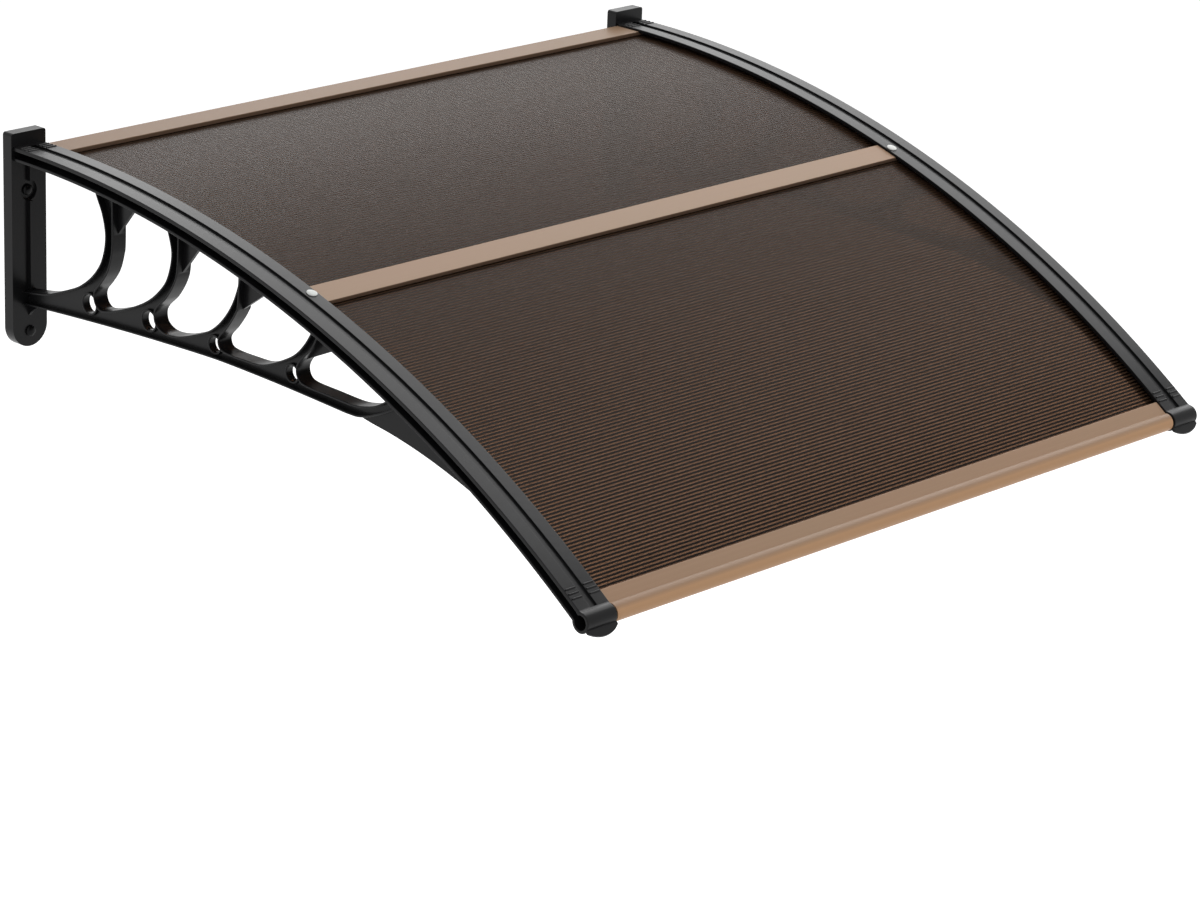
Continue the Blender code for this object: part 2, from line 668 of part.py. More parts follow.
def bar_lips(back, front, top, spine):
    """The upright and the lower lip of a bar, under a hollow upper chamber: outline pieces and the chamber's hole.

    back and front are the chamber's ends along the arc, and spine is the middle of the upright.
    """
    chamber_floor = SHEET_TOP + FIT
    half = BAR_SPINE / 2
    outline = [
        (back, SLOT_FLOOR),
        (front, SLOT_FLOOR),
        (front, SLOT_FLOOR + BAR_WALL),
        (spine + half, SLOT_FLOOR + BAR_WALL),
        (spine + half, chamber_floor),
        (front, chamber_floor),
        (front, top),
        (back, top),
        (back, chamber_floor),
        (spine - half, chamber_floor),
        (spine - half, SLOT_FLOOR + BAR_WALL),
        (back, SLOT_FLOOR + BAR_WALL),
    ]
    wall = BAR_WALL
    hollow = rectangle((back + wall, chamber_floor + wall), (front - wall, top - wall))
    return outline, hollow


def notch_ends(bar, frame, back, front, ends_at):
    """Mill away the bar's ends above the slot, so that they pass under the arms' top flanges."""
    reach = SPAN_HALF + BURIED
    for side in (-1, 1):
        ends = sorted((side * ends_at, side * reach))
        low = (ends[0], -front - BURIED, SLOT_ROOF)
        high = (ends[1], -back + BURIED, NOSE_RADIUS + BURIED)
        combine(bar, helper("end_notch", box(low, high, frame)), "DIFFERENCE")


def make_middle_bar():
    """An H bar between the two sheets, with a hollow top and a screw hole at each end."""
    half = MIDDLE_BAR_WIDTH / 2
    frame = arc_frame(MIDDLE_BAR_ANGLE)
    outlines = [bent(outline) for outline in bar_lips(-half, half, BAR_TOP, 0)]
    bar = helper("middle_bar_form", side_solid(outlines, -SPAN_HALF, SPAN_HALF, frame))
    notch_ends(bar, frame, -half, half, ARM_INNER - BAR_ARM_GAP)
    axis = frame.to_3x3() @ Vector((0, 0, 1))
    for side in (-1, 1):
        top = frame @ Vector((side * BAR_SCREW_SIDE, 0, SHEET_TOP))
        hole = cylinder(top, axis, BAR_SCREW_SHANK + SHANK_PLAY, 2 * SHEET_THICKNESS, 16)
        combine(bar, helper("screw_hole", hole), "DIFFERENCE")
    return piece("middle_bar", bar, bar_paint)


def rear_bar_angle():
    return angle_at(PLATE_DEPTH + FIT + REAR_BAR_WIDTH / 2)


def make_rear_bar():
    """The bar against the wall plates: a deep hollow back and a lip that takes the rear sheet."""
    half = REAR_BAR_WIDTH / 2
    frame = arc_frame(rear_bar_angle())
    spine = half - SHEET_GRIP - FIT
    floor = SHEET_TOP + FIT
    wall = BAR_WALL
    outline = [
        (-half, SLOT_FLOOR),
        (half, SLOT_FLOOR),
        (half, SLOT_FLOOR + wall),
        (spine, SLOT_FLOOR + wall),
        (spine, floor),
        (half, floor),
        (half, BAR_TOP),
        (-half, BAR_TOP),
    ]
    back_cell = rectangle((-half + wall, SLOT_FLOOR + wall), (spine - BAR_SPINE, floor))
    top_cell = rectangle((-half + wall, floor + wall), (half - wall, BAR_TOP - wall))
    outlines = [bent(part) for part in (outline, back_cell, top_cell)]
    bar = helper("rear_bar_form", side_solid(outlines, -SPAN_HALF, SPAN_HALF, frame))
    notch_ends(bar, frame, -half, half, ARM_INNER - BAR_ARM_GAP)
    return piece("rear_bar", bar, bar_paint)


def make_front_bar():
    """The bar at the front edge: a hollow flat band that takes the front sheet, and a round hollow nose."""
    frame = arc_frame(KNUCKLE_ANGLE)
    back = -FRONT_BAND_BACK
    floor = SHEET_TOP + FIT
    wall = BAR_WALL
    stop = back + SHEET_GRIP + FIT
    lip = SLOT_FLOOR + wall
    join_low = -sqrt(NOSE_RADIUS ** 2 - SLOT_FLOOR ** 2)
    join_top = -sqrt(NOSE_RADIUS ** 2 - FRONT_BAND_TOP ** 2)
    turn_low = atan2(SLOT_FLOOR, join_low)
    turn_top = atan2(FRONT_BAND_TOP, join_top)
    nose = circle((0, 0), NOSE_RADIUS, 30, turn_low, turn_top)
    grip = bent([(back, FRONT_BAND_TOP), (back, floor), (stop, floor), (stop, lip), (back, lip), (back, SLOT_FLOOR)])
    outline = [*nose, *grip]
    inner = NOSE_RADIUS - NOSE_WALL
    nose_cell = circle((0, 0), inner, 24)
    top_cell = rectangle((back + wall, floor + wall), (join_top - 2 * wall, FRONT_BAND_TOP - wall))
    form = side_solid([outline, nose_cell, bent(top_cell)], -SPAN_HALF, SPAN_HALF, frame)
    bar = helper("front_bar_form", form)
    notch_ends(bar, frame, back, NOSE_RADIUS, ARM_INNER - NOSE_ARM_GAP)
    reach = SPAN_HALF + BURIED
    shoulder = -KNUCKLE_RADIUS - NOSE_ARM_GAP
    for side in (-1, 1):
        ends = sorted((side * (ARM_INNER - NOSE_ARM_GAP), side * reach))
        low = (ends[0], -NOSE_RADIUS - BURIED, -NOSE_RADIUS - BURIED)
        high = (ends[1], -shoulder, NOSE_RADIUS)
        combine(bar, helper("nose_notch", box(low, high, frame)), "DIFFERENCE")
    return piece("front_bar", bar, bar_paint)


def turned(profile, segments):
    """A profile of (radius, height) pairs turned about its own Z axis, from the top down to the bottom."""
    bm = bmesh.new()
    points = [bm.verts.new((radius, 0, height)) for radius, height in profile]
    edges = [bm.edges.new(pair) for pair in zip(points, points[1:])]
    geometry = [*points, *edges]
    bmesh.ops.spin(bm, geom=geometry, cent=(0, 0, 0), axis=(0, 0, 1), angle=2 * pi, steps=segments, use_duplicate=False)
    bmesh.ops.remove_doubles(bm, verts=bm.verts, dist=1e-6)
    bmesh.ops.recalc_face_normals(bm, faces=bm.faces)
    return bm


def domed(head_radius, dome, shank_radius, shank_length):
    """Profile of a round-headed fastener whose head sits on height 0."""
    edge = dome * 0.3
    head = [(head_radius * sin(t), edge + (dome - edge) * cos(t)) for t in (0, pi / 6, pi / 3, pi / 2)]
    return [*head, (head_radius, 0), (shank_radius, 0), (shank_radius, -shank_length), (0, -shank_length)]


def make_bar_screws():
    """A white-headed screw down through each arm into the middle bar."""
    frame = arc_frame(MIDDLE_BAR_ANGLE)
    length = ARM_TOP + FIT - SLOT_FLOOR - 2 * BAR_WALL
    profile = domed(BAR_SCREW_HEAD, BAR_SCREW_DOME, BAR_SCREW_SHANK, length)
    form = helper("bar_screw_form", turned(profile, 16))
    for name, side in (("left_bar_screw", -1), ("right_bar_screw", 1)):
        screw = piece(name, form, screw_paint)
        screw.matrix_world = frame @ Matrix.Translation((side * BAR_SCREW_SIDE, 0, ARM_TOP + FIT))


def make_screw_caps():
    """A domed cap over each wall screw, plugged into its hole in the plate."""
    form = helper("cap_form", turned(domed(CAP_RADIUS, CAP_DOME, HOLE_RADIUS - CAP_STEM_PLAY, CAP_STEM), 14))
    forward = Matrix.Rotation(pi / 2, 4, "X")
    seats = (PLATE_DEPTH - RECESS_DEPTH, PLATE_DEPTH)
    for side, side_name in ((-1, "left"), (1, "right")):
        for up, seat, level in zip(screw_places(), seats, ("upper", "lower")):
            cap = piece(f"{side_name}_{level}_screw_cap", form, bracket_plastic)
            cap.matrix_world = Matrix.Translation((side * ARM_MIDDLE, -seat - FIT, up)) @ forward


def make_brackets():
    """The left bracket, and its mirror image on the right."""
    left = piece("left_bracket", make_bracket(), bracket_plastic)
    right = bpy.data.objects.new("right_bracket", left.data.copy())
    right.data.materials.clear()
    right.data.materials.append(finish("right_bracket", **bracket_plastic))
    right.matrix_world = Matrix.Scale(-1, 4, (1, 0, 0))
    canopy.objects.link(right)


def make_sheets():
    """The rear sheet runs from the rear bar to the middle bar, and the front sheet on to the front bar."""
    rear_grip_back = PLATE_DEPTH + FIT + REAR_BAR_WIDTH - SHEET_GRIP + FIT
    beside_spine = along(max(BAR_SPINE / 2, BAR_SCREW_SHANK + SHANK_PLAY) + 2 * FIT)
    front_edge = KNUCKLE_ANGLE - along(FRONT_BAND_BACK - SHEET_GRIP + FIT)
    make_sheet("rear_sheet", angle_at(rear_grip_back), MIDDLE_BAR_ANGLE - beside_spine)
    make_sheet("front_sheet", MIDDLE_BAR_ANGLE + beside_spine, front_edge)


clear_scene()
canopy = new_collection("door_canopy")
helpers = new_collection("shaping_helpers")
helpers.hide_render = True
make_brackets()
make_sheets()
make_rear_bar()
make_middle_bar()
make_front_bar()
make_bar_screws()
make_screw_caps()
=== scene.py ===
"""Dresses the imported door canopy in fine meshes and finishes, and sets its floor, light and camera.

Metres, +Z up. The wall is the plane y = 0 and the canopy reaches out from it along -Y.
Side outlines are written as (out, up): out from the wall, up from the middle of the sheet slot at the wall.
"""

from math import atan2, ceil, cos, hypot, pi, radians, sin, sqrt

import bmesh
import bpy
from bpy.props import FloatProperty, FloatVectorProperty, PointerProperty
from mathutils import Matrix, Vector


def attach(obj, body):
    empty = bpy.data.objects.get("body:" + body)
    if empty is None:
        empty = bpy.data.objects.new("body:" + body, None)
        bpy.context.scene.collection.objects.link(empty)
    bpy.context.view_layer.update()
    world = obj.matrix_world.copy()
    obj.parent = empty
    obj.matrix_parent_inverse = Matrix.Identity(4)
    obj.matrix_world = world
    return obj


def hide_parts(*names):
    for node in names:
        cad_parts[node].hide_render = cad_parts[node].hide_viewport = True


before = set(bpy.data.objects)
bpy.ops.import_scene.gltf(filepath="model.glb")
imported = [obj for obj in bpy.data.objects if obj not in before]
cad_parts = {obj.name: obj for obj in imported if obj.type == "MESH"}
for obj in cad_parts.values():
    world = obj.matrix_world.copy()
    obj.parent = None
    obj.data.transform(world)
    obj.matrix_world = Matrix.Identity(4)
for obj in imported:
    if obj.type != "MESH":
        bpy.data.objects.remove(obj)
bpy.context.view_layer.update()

bl_info = {
    "name": "Door canopy dressing",
    "version": (1, 0, 0),
    "blender": (4, 5, 0),
    "location": "3D View > Sidebar > Canopy",
    "description": "Fine pieces, finishes and a studio for an arched door canopy",
    "category": "Object",
}

MM = 0.001
FIT = 0.0003  # gap between pieces that touch
BURIED = 0.0015  # how deep joined shapes run into each other

# The arc that everything follows
ARC_RADIUS = 1.861  # middle of the sheet slot
ARC_CENTRE_OUT = 0.031
ARC_CENTRE = (0, -ARC_CENTRE_OUT, -ARC_RADIUS)
KNUCKLE_ANGLE = radians(36.15)  # from the top of the arc to the knuckle's middle
MIDDLE_BAR_ANGLE = radians(17.15)
SWEEP_STEP = radians(0.45)
EASE = 0.00004  # how far a facet may stray from the curve it stands for
ROUND = 0.3  # share of its radius by which a rounded corner's middle lies inside both edges

# Arm
ARM_FACE = 0.625  # outer face, from the middle of the canopy
ARM_WIDTH = 0.053
ARM_WEB = 0.005
SLOT_HEIGHT = 0.010
TOP_FLANGE = 0.0055
LOWER_FLANGE = 0.004
GROOVE_WIDTH = 0.012
GROOVE_DEPTH = 0.003
GROOVE_WALL_GAP = 0.0065
GROOVE_KNUCKLE_GAP = 0.0112

# Grip ridges
RIDGE_COUNT = 3
RIDGE_WIDTH = 0.0032
RIDGE_HEIGHT = 0.0015
RIDGE_EDGE = 0.0022
REAR_RIDGE_START = 0.014
REAR_RIDGE_PITCH = 0.0080
FRONT_RIDGE_START = 0.0290
FRONT_RIDGE_PITCH = 0.0074

# Knuckle and drip tab
KNUCKLE_RADIUS = 0.0143
KNUCKLE_WIDTH = 0.0522
KNUCKLE_PROUD = 0.0004
KNUCKLE_BORE = 0.0098
KNUCKLE_END_WALL = 0.005
KNUCKLE_FILLET = 0.006
TAB_SLOPE = radians(45)
TAB_THICKNESS = 0.0045
TAB_REACH = 0.0266
TAB_BOW = 0.042

# Wall plate
PLATE_WIDTH = 0.060
PLATE_DEPTH = 0.0185
PLATE_TOP = 0.0295
PLATE_HEIGHT = 0.311
PLATE_CORNER = 0.004
PLATE_EDGE = 0.0032
UPPER_HOLE_DROP = 0.0845
HOLE_SPACING = 0.204
HOLE_RADIUS = 0.0050
RECESS_RADIUS = 0.0140
RECESS_DEPTH = 0.0045

# Scrollwork: its paths are (out, up) and its eyes (out, up, radius), all in millimetres
PLATE_RIB = 0.0056
EYE_RING = 0.003
EYE_DEPTH = 0.0125
EYES = ((156.0, -186.0, 13.5), (282.0, -179.5, 13.5), (417.3, -179.6, 11.0), (571.5, -180.8, 11.0))
OPENINGS = (
    (
        (24.1, -198.6), (52, -194.6), (72, -190.5), (90, -184.2), (116.6, -173.7), (143.6, -161),
        (170, -140.5), (189, -114.7), (197, -81), (191, -50.6), (178, -25.3), (168, -4),
    ),
    (
        (213, -2), (213.4, -84), (210.3, -107), (202, -129.8), (188, -148.8), (176, -162), (174, -172.5),
        (180, -183), (193, -185.8), (227, -175.9), (262, -161.5), (289, -146.5), (310.7, -128.2),
        (326.2, -107.5), (335, -75), (330, -49), (318, -24),
    ),
    (
        (351, -20), (349, -86), (342.5, -111), (325.4, -136.4), (306, -154.5), (301, -166.5), (306, -179),
        (324, -185.8), (352, -182.9), (385, -171.8), (413, -159.6), (437, -140.3), (457, -113.9),
        (470, -83.5), (478, -50),
    ),
    (
        (474, -46), (471.5, -108), (466, -125), (449, -148.4), (435, -163), (432.3, -171.5), (438, -179.9),
        (456, -182.4), (484, -182.4), (512, -181.5), (533, -175.7), (557, -165), (582, -150.8),
        (600, -133), (613, -114), (624, -92),
    ),
    (
        (636, -96), (619, -131), (604, -147.5), (592, -160), (587.6, -171), (592, -182.3), (606, -187.2),
        (646, -188.6), (692, -190), (716, -187), (738, -180.2), (758, -168.5), (776, -152),
    ),
)
# A gusset in each opening's upper corner, as (height of its foot on the rim, distance out on the arm)
GUSSETS = (None, (-75, 257), (-98, 392), (-120, 530), (-157, 670))
CHORD_BOTTOM = (
    (6, -220), (45, -216.8), (100, -212.4), (200, -206), (300, -201), (400, -197.4), (455, -197),
    (550, -199.3), (640, -203.2), (686, -205.3), (711, -203.6), (740, -193.5), (772, -178), (800, -160),
)
FIN_BOTTOM = (
    (700, -206.5), (720, -210.2), (757.4, -215.4), (795, -222.5), (832.3, -231.2), (869.3, -241.6),
    (906, -253.5), (950, -270), (1016, -292),
)
PLATE_FILLET = ((12, -246), (24.5, -229.5), (45, -216.8))

# Sheets and bars
SHEET_THICKNESS = 0.004
SHEET_SIDE_PLAY = 0.001
SKIN_SAG = 0.00003  # how far a skin sinks between two ribs
BAR_WALL = 0.0010
REAR_BAR_WIDTH = 0.0475
MIDDLE_BAR_WIDTH = 0.0395
BAR_TOP = 0.0072
BAR_SPINE = 0.0016
SHEET_GRIP = 0.0160
BAR_ARM_GAP = 0.0010
FRONT_BAND_BACK = 0.0312
FRONT_BAND_TOP = 0.0085
NOSE_RADIUS = 0.0126
NOSE_WALL = 0.0013
NOSE_ARM_GAP = 0.0015

# Fasteners
BAR_SCREW_INSET = 0.0435
BAR_SCREW_SHANK = 0.0020
BAR_SCREW_TIP = 0.0020  # from the slot's floor up to the tip
SHANK_PLAY = 0.0004
CAP_STEM = 0.0100
CAP_STEM_PLAY = 0.0003

ARM_MIDDLE = ARM_FACE - ARM_WIDTH / 2
ARM_INNER = ARM_FACE - ARM_WIDTH
ARM_TOP = SLOT_HEIGHT / 2 + TOP_FLANGE
ARM_UNDER = -SLOT_HEIGHT / 2 - LOWER_FLANGE
SLOT_FLOOR = -SLOT_HEIGHT / 2 + FIT
SLOT_ROOF = SLOT_HEIGHT / 2 - 2 * FIT
SPAN_HALF = ARM_MIDDLE - ARM_WEB / 2 - SHEET_SIDE_PLAY
SIDE_VIEW = Matrix(((0, 0, -1, 0), (-1, 0, 0, 0), (0, 1, 0, 0), (0, 0, 0, 1)))

# The camera looks down on the canopy from its front left
CAMERA_PLACE = (-4.1019, -4.4469, 1.5400)
CAMERA_AZIMUTH = radians(-46.539)
CAMERA_ELEVATION = radians(19.328)
CAMERA_ROLL = radians(2.191)
CAMERA_LENS = 125.7
SENSOR_WIDTH = 36

# Light: the room lights the pieces less from behind and above
ROOM_LEVEL = 0.72
ROOM_BACK = 0.25
ROOM_ABOVE = 0.36
ROOM_LEAST = 0.15
FLOOR_LIFT = 0.70
LAMP_PLACE = (3.6, 1.4, 3.4)
LAMP_AIM = (0, -0.55, 0)
LAMP_SIZE = (6.0, 5.0)
# A low line of sight through a sheet crosses both skins and several ribs, two faces each
CLEAR_BOUNCES = 32

# Finishes
PAINT_GLOSS = 0.11
REAR_BAR_GLOSS = 0.065
# Painted shade: the rear bar's paint is a darker copy of the same paint
REAR_BAR_PAINTED_SHADE = 0.78
# Painted shade on the sides of the rear and middle bars
BAR_SIDE_PAINTED_SHADE = 0.35
# Painted light on the front bar's nose, which turns down: warmer and brighter than the paint
NOSE_PAINTED_LIGHT = (1.55, 1.45, 1.22)
SCREW_ROUGHNESS = 0.32
CAP_ROUGHNESS = 0.20
CAP_GLOSS = 0.10
COVER_DRIFT = 0.05
LEVEL_FACE = 0.6  # a sheet's face is a skin's, not a rib's, from this cosine to the arc's normal on
# The dark line over each rib, partly its real foot and partly painted shade, fades at its edges
FOOT_AND_SHADE_EDGE = 24  # a rib's foot fades out over one 24th of the pitch


def length_setting(name, description, default):
    return FloatProperty(name=name, description=description, default=default, subtype="DISTANCE")


def share_setting(name, description, default):
    return FloatProperty(name=name, description=description, default=default, subtype="FACTOR")


def colour_setting(name, description, default):
    return FloatVectorProperty(name=name, description=description, default=default, subtype="COLOR")


class BracketSettings(bpy.types.PropertyGroup):
    web_thickness: length_setting("Web thickness", "Plain wall of the scrollwork", 0.005)
    rim_width: length_setting("Rim width", "Rims round the openings, across the bracket", 0.024)
    rim_thickness: length_setting("Rim thickness", "Wall of the rims and the chord", 0.0026)
    edge_radius: length_setting("Edge radius", "How softly the moulding's edges turn", 0.0009)
    colour: colour_setting("Plastic", "Colour of the moulded plastic", (0.0065, 0.0065, 0.007))
    roughness: share_setting("Roughness", "How matt the moulding is", 0.30)


class SheetSettings(bpy.types.PropertyGroup):
    flute_pitch: length_setting("Flute pitch", "From one rib to the next", 0.0055)
    skin: length_setting("Skin", "Thickness of the upper and lower skin", 0.0004)
    rib: length_setting("Rib", "Thickness of the upright ribs", 0.0005)
    haze: colour_setting("Haze", "Colour that the tinted plastic throws back", (0.096, 0.057, 0.035))
    tint: colour_setting("Tint", "Colour of the light that one face lets through", (0.70, 0.595, 0.52))
    outer_cover: share_setting(
        "Outer cover", "How much an outer face holds back, with its film of dust", 0.42
    )
    # The dark line over each rib on the upper face: partly the rib's thicker foot of tinted plastic, partly
    # painted shade
    foot_and_shade_cover: share_setting("Foot cover", "How much the upper face holds back over a rib", 1.0)
    foot_and_shade_share: share_setting("Foot share", "Share of the pitch that a rib's foot takes up", 0.53)
    inner_cover: share_setting("Inner cover", "How much a skin's face inside the flutes holds back", 0.07)
    rib_cover: share_setting("Rib cover", "How much one face of a rib holds back", 0.46)


class BarSettings(bpy.types.PropertyGroup):
    wall: length_setting("Wall", "Wall of the extruded bars", BAR_WALL)
    edge_radius: length_setting("Edge radius", "How softly the bars' edges turn", 0.0014)
    paint: colour_setting("Paint", "Colour of the satin paint", (0.375, 0.236, 0.155))
    roughness: share_setting("Roughness", "How matt the paint is", 0.38)


class BarScrewSettings(bpy.types.PropertyGroup):
    head_radius: length_setting("Head radius", "Radius of the white head", 0.0075)
    dome: length_setting("Dome", "Height of the head", 0.0023)
    paint: colour_setting("Paint", "Colour of the heads", (0.82, 0.82, 0.81))


class ScrewCapSettings(bpy.types.PropertyGroup):
    cap_radius: length_setting("Cap radius", "Radius of a wall screw's cap", 0.0080)
    dome: length_setting("Dome", "Height of the cap", 0.0045)
    colour: colour_setting("Plastic", "Colour of the caps", (0.004, 0.004, 0.0045))


class StageSettings(bpy.types.PropertyGroup):
    floor_drop: length_setting("Floor drop", "From the wall line down to the floor", 2.2)
    floor_colour: colour_setting("Floor", "Colour of the floor", (0.80, 0.80, 0.80))
    lamp_power: FloatProperty(
        name="Lamp", description="Power of the soft lamp", default=235.0, subtype="POWER"
    )


class Term:
    """A number in a shader, on which plain arithmetic adds Math nodes."""

    def __init__(self, finish, socket):
        self.finish = finish
        self.socket = socket

    def joined(self, operation, *values):
        node = self.finish.node("ShaderNodeMath", {"operation": operation}, dict(enumerate(values)))
        return Term(self.finish, node.outputs[0])

    def __add__(self, other):
        return self.joined("ADD", self, other)

    def __sub__(self, other):
        return self.joined("SUBTRACT", self, other)

    def __rsub__(self, other):
        return self.joined("SUBTRACT", other, self)

    def __mul__(self, other):
        return self.joined("MULTIPLY", self, other)

    def __abs__(self):
        return self.joined("ABSOLUTE", self)

    def above(self, other):
        return self.joined("MAXIMUM", self, other)

    def over(self, limit):
        return self.joined("GREATER_THAN", self, limit)

    def held(self):
        """Kept between 0 and 1."""
        return self.joined("MINIMUM", self.above(0.0), 1.0)

    __radd__ = __add__
    __rmul__ = __mul__


class Finish:
    """The node tree of one material or world."""

    def __init__(self, tree):
        self.tree = tree
        tree.nodes.clear()

    def node(self, kind, settings=None, values=None):
        """A node of a kind, its settings set first, then its sockets given values or links."""
        made = self.tree.nodes.new(kind)
        for name, value in (settings or {}).items():
            setattr(made, name, value)
        for key, value in (values or {}).items():
            self.feed(self.socket(made.inputs, key), value)
        return made

    def socket(self, sockets, key):
        if isinstance(key, int):
            return sockets[key]
        return next((s for s in sockets if s.identifier == key), None) or sockets[key]

    def feed(self, socket, value):
        if isinstance(value, Term):
            value = value.socket
        if isinstance(value, bpy.types.NodeSocket):
            self.tree.links.new(value, socket)
        elif hasattr(socket.default_value, "__len__") and len(socket.default_value) == 4:
            socket.default_value = (*value, 1)
        else:
            socket.default_value = value

    def term(self, node, key=0):
        return Term(self, self.socket(node.outputs, key))

    def vector(self, operation, *values):
        return self.node("ShaderNodeVectorMath", {"operation": operation}, dict(enumerate(values)))

    def axes(self, vector):
        """A vector's three numbers, as the outputs of one node."""
        return self.node("ShaderNodeSeparateXYZ", {}, {0: vector})

    def blend(self, factor, first, second):
        """A colour between two others."""
        values = {"Factor_Float": factor, "A_Color": first, "B_Color": second}
        mix = self.node("ShaderNodeMix", {"data_type": "RGBA"}, values)
        return self.socket(mix.outputs, "Result_Color")

    def place(self):
        """The point on the piece, in metres."""
        return self.node("ShaderNodeTexCoord").outputs["Object"]

    def normal(self):
        """The way the piece's own face looks, without any bump."""
        return self.node("ShaderNodeNewGeometry").outputs["True Normal"]

    def seen(self):
        """1 for what the camera sees, mirrored or through plastic too, and 0 for light on the pieces."""
        rays = self.node("ShaderNodeLightPath")
        mirrored = self.term(rays, "Is Camera Ray").above(self.term(rays, "Is Glossy Ray"))
        return mirrored.above(self.term(rays, "Is Transmission Ray"))

    def stretched(self, scale):
        """The point with each axis scaled, for grain that runs along the piece."""
        values = {"Vector": self.place(), "Scale": scale}
        return self.node("ShaderNodeMapping", {"vector_type": "POINT"}, values).outputs["Vector"]

    def noise(self, point, scale, detail=2.0, roughness=0.5):
        values = {"Vector": point, "Scale": scale, "Detail": detail, "Roughness": roughness}
        return self.term(self.node("ShaderNodeTexNoise", {"noise_dimensions": "3D"}, values), "Fac")

    def bump(self, height, distance, strength=1.0):
        values = {"Strength": strength, "Distance": distance, "Height": height}
        return self.node("ShaderNodeBump", {}, values).outputs["Normal"]

    def shader(self, kind, values=None):
        return self.node(kind, {}, values).outputs[0]

    def mixed(self, factor, first, second):
        return self.shader("ShaderNodeMixShader", {0: factor, 1: first, 2: second})

    def surface(self, shader):
        """A shader put into the material's output."""
        self.node("ShaderNodeOutputMaterial", {}, {"Surface": shader})


def new_finish(name):
    material = bpy.data.materials.new(name)
    material.use_nodes = True
    return material, Finish(material.node_tree)


def scaled(colour, *shares):
    """A colour with its channels multiplied, all by one share or each by its own."""
    shares = shares if len(shares) == 3 else shares * 3
    return tuple(min(1.0, channel * share) for channel, share in zip(colour, shares))


def moulded_plastic(name, colour, roughness, gloss=0.17):
    """Semi-gloss moulded plastic with a fine spark-eroded grain and faint flow marks."""
    material, finish = new_finish(name)
    point = finish.place()
    flow = finish.noise(point, 9.0, 3.0)
    grain = finish.noise(point, 1400.0, 1.0)
    paler = tuple(channel * 1.5 + 0.002 for channel in colour)
    values = {
        "Base Color": finish.blend(flow * 0.6, colour, paler),
        "Roughness": roughness - 0.05 + flow * 0.10 + (grain - 0.5) * 0.06,
        "Specular IOR Level": gloss,
        "Normal": finish.bump(grain, 0.00004, 0.5),
    }
    finish.surface(finish.shader("ShaderNodeBsdfPrincipled", values))
    return material


def tinted_sheet(name, settings, angle_from, pitch):
    """Clear tinted plastic, dusty on its outer faces, its ribs standing on edge to the arc; over each rib
    the upper face carries a dark, opaque line, partly the rib's thicker foot of tinted plastic and partly
    painted shade for the darker look through the rib.
    """
    material, finish = new_finish(name)
    # From the arc's axis to the point, in the side view
    spoke = finish.vector("MULTIPLY_ADD", finish.place(), (0, 1, 1), (0, ARC_CENTRE_OUT, ARC_RADIUS))
    spoke = spoke.outputs["Vector"]
    square = finish.vector("NORMALIZE", spoke).outputs["Vector"]
    facing = finish.term(finish.vector("DOT_PRODUCT", square, finish.normal()), "Value")
    under, _, _, top = sheet_levels(settings)
    upper = finish.term(finish.vector("LENGTH", spoke), "Value").over(ARC_RADIUS + (under + top) / 2)
    outward = facing.over(LEVEL_FACE)
    inward = (0 - facing).over(LEVEL_FACE)
    outer = outward * upper + inward * (1 - upper)
    axes = finish.axes(spoke)
    out = 0 - finish.term(axes, "Y")
    angle = out.joined("ARCTAN2", out, finish.term(axes, "Z"))
    pitches = (angle - angle_from) * (1 / pitch) + 0.5
    from_rib = abs(pitches.joined("FRACT", pitches) - 0.5)
    # Painted shade, partly real: an opaque dark line on the upper face over each rib
    foot = outward * upper * ((settings.foot_and_shade_share / 2 - from_rib) * FOOT_AND_SHADE_EDGE + 0.5).held()
    drawn = finish.noise(finish.stretched((0.4, 90, 90)), 6.0, 2.0)
    cover = (
        settings.rib_cover
        + (outward + inward) * (settings.inner_cover - settings.rib_cover)
        + outer * (settings.outer_cover - settings.inner_cover)
        + foot * (settings.foot_and_shade_cover - settings.outer_cover)
    )
    haze = tuple(settings.haze)
    values = {
        # Near-black over each rib: painted shade for the darker look through the rib, on top of its thicker
        # foot
        "Base Color": finish.blend(foot, finish.blend(drawn, haze, scaled(haze, 1.25)), scaled(haze, 0.06)),
        "Roughness": 0.24 + drawn * 0.10,
        "Specular IOR Level": 0.03,
    }
    thrown_back = finish.shader("ShaderNodeBsdfPrincipled", values)
    let_through = finish.shader("ShaderNodeBsdfTransparent", {"Color": tuple(settings.tint)})
    finish.surface(finish.mixed(cover + (drawn - 0.5) * COVER_DRIFT, let_through, thrown_back))
    return material


def satin_paint(name, colour, painted_light_colour, roughness, gloss=PAINT_GLOSS):
    """Satin paint on drawn metal, with faint streaks along the bar, and painted light and shade where it
    turns down: a second colour, lighter or darker as given, stands in for how light falls on such faces.
    """
    material, finish = new_finish(name)
    streaks = finish.noise(finish.stretched((0.25, 60, 60)), 7.0, 4.0, 0.6)
    speckle = finish.noise(finish.place(), 900.0, 1.0)
    drift = finish.noise(finish.stretched((1, 0.3, 0.3)), 3.2, 1.0)
    streaked = finish.blend(streaks, scaled(colour, 0.90, 0.84, 0.78), scaled(colour, 1.14))
    drifted = finish.blend(drift, streaked, scaled(colour, 0.95, 1.03, 1.02))
    # Painted light and shade: faces that turn sideways or down blend to the painted light colour
    side = (2.2 - finish.term(finish.axes(finish.normal()), "Z") * 2.6).held()
    values = {
        "Base Color": finish.blend(side, drifted, painted_light_colour),
        "Roughness": roughness - 0.06 + streaks * 0.12,
        "Specular IOR Level": gloss,
        "Normal": finish.bump(streaks + speckle * 0.25, 0.00004, 0.4),
    }
    finish.surface(finish.shader("ShaderNodeBsdfPrincipled", values))
    return material


def in_scene(name, data):
    """A new object that holds the data, linked to the scene."""
    item = bpy.data.objects.new(name, data)
    bpy.context.scene.collection.objects.link(item)
    return item


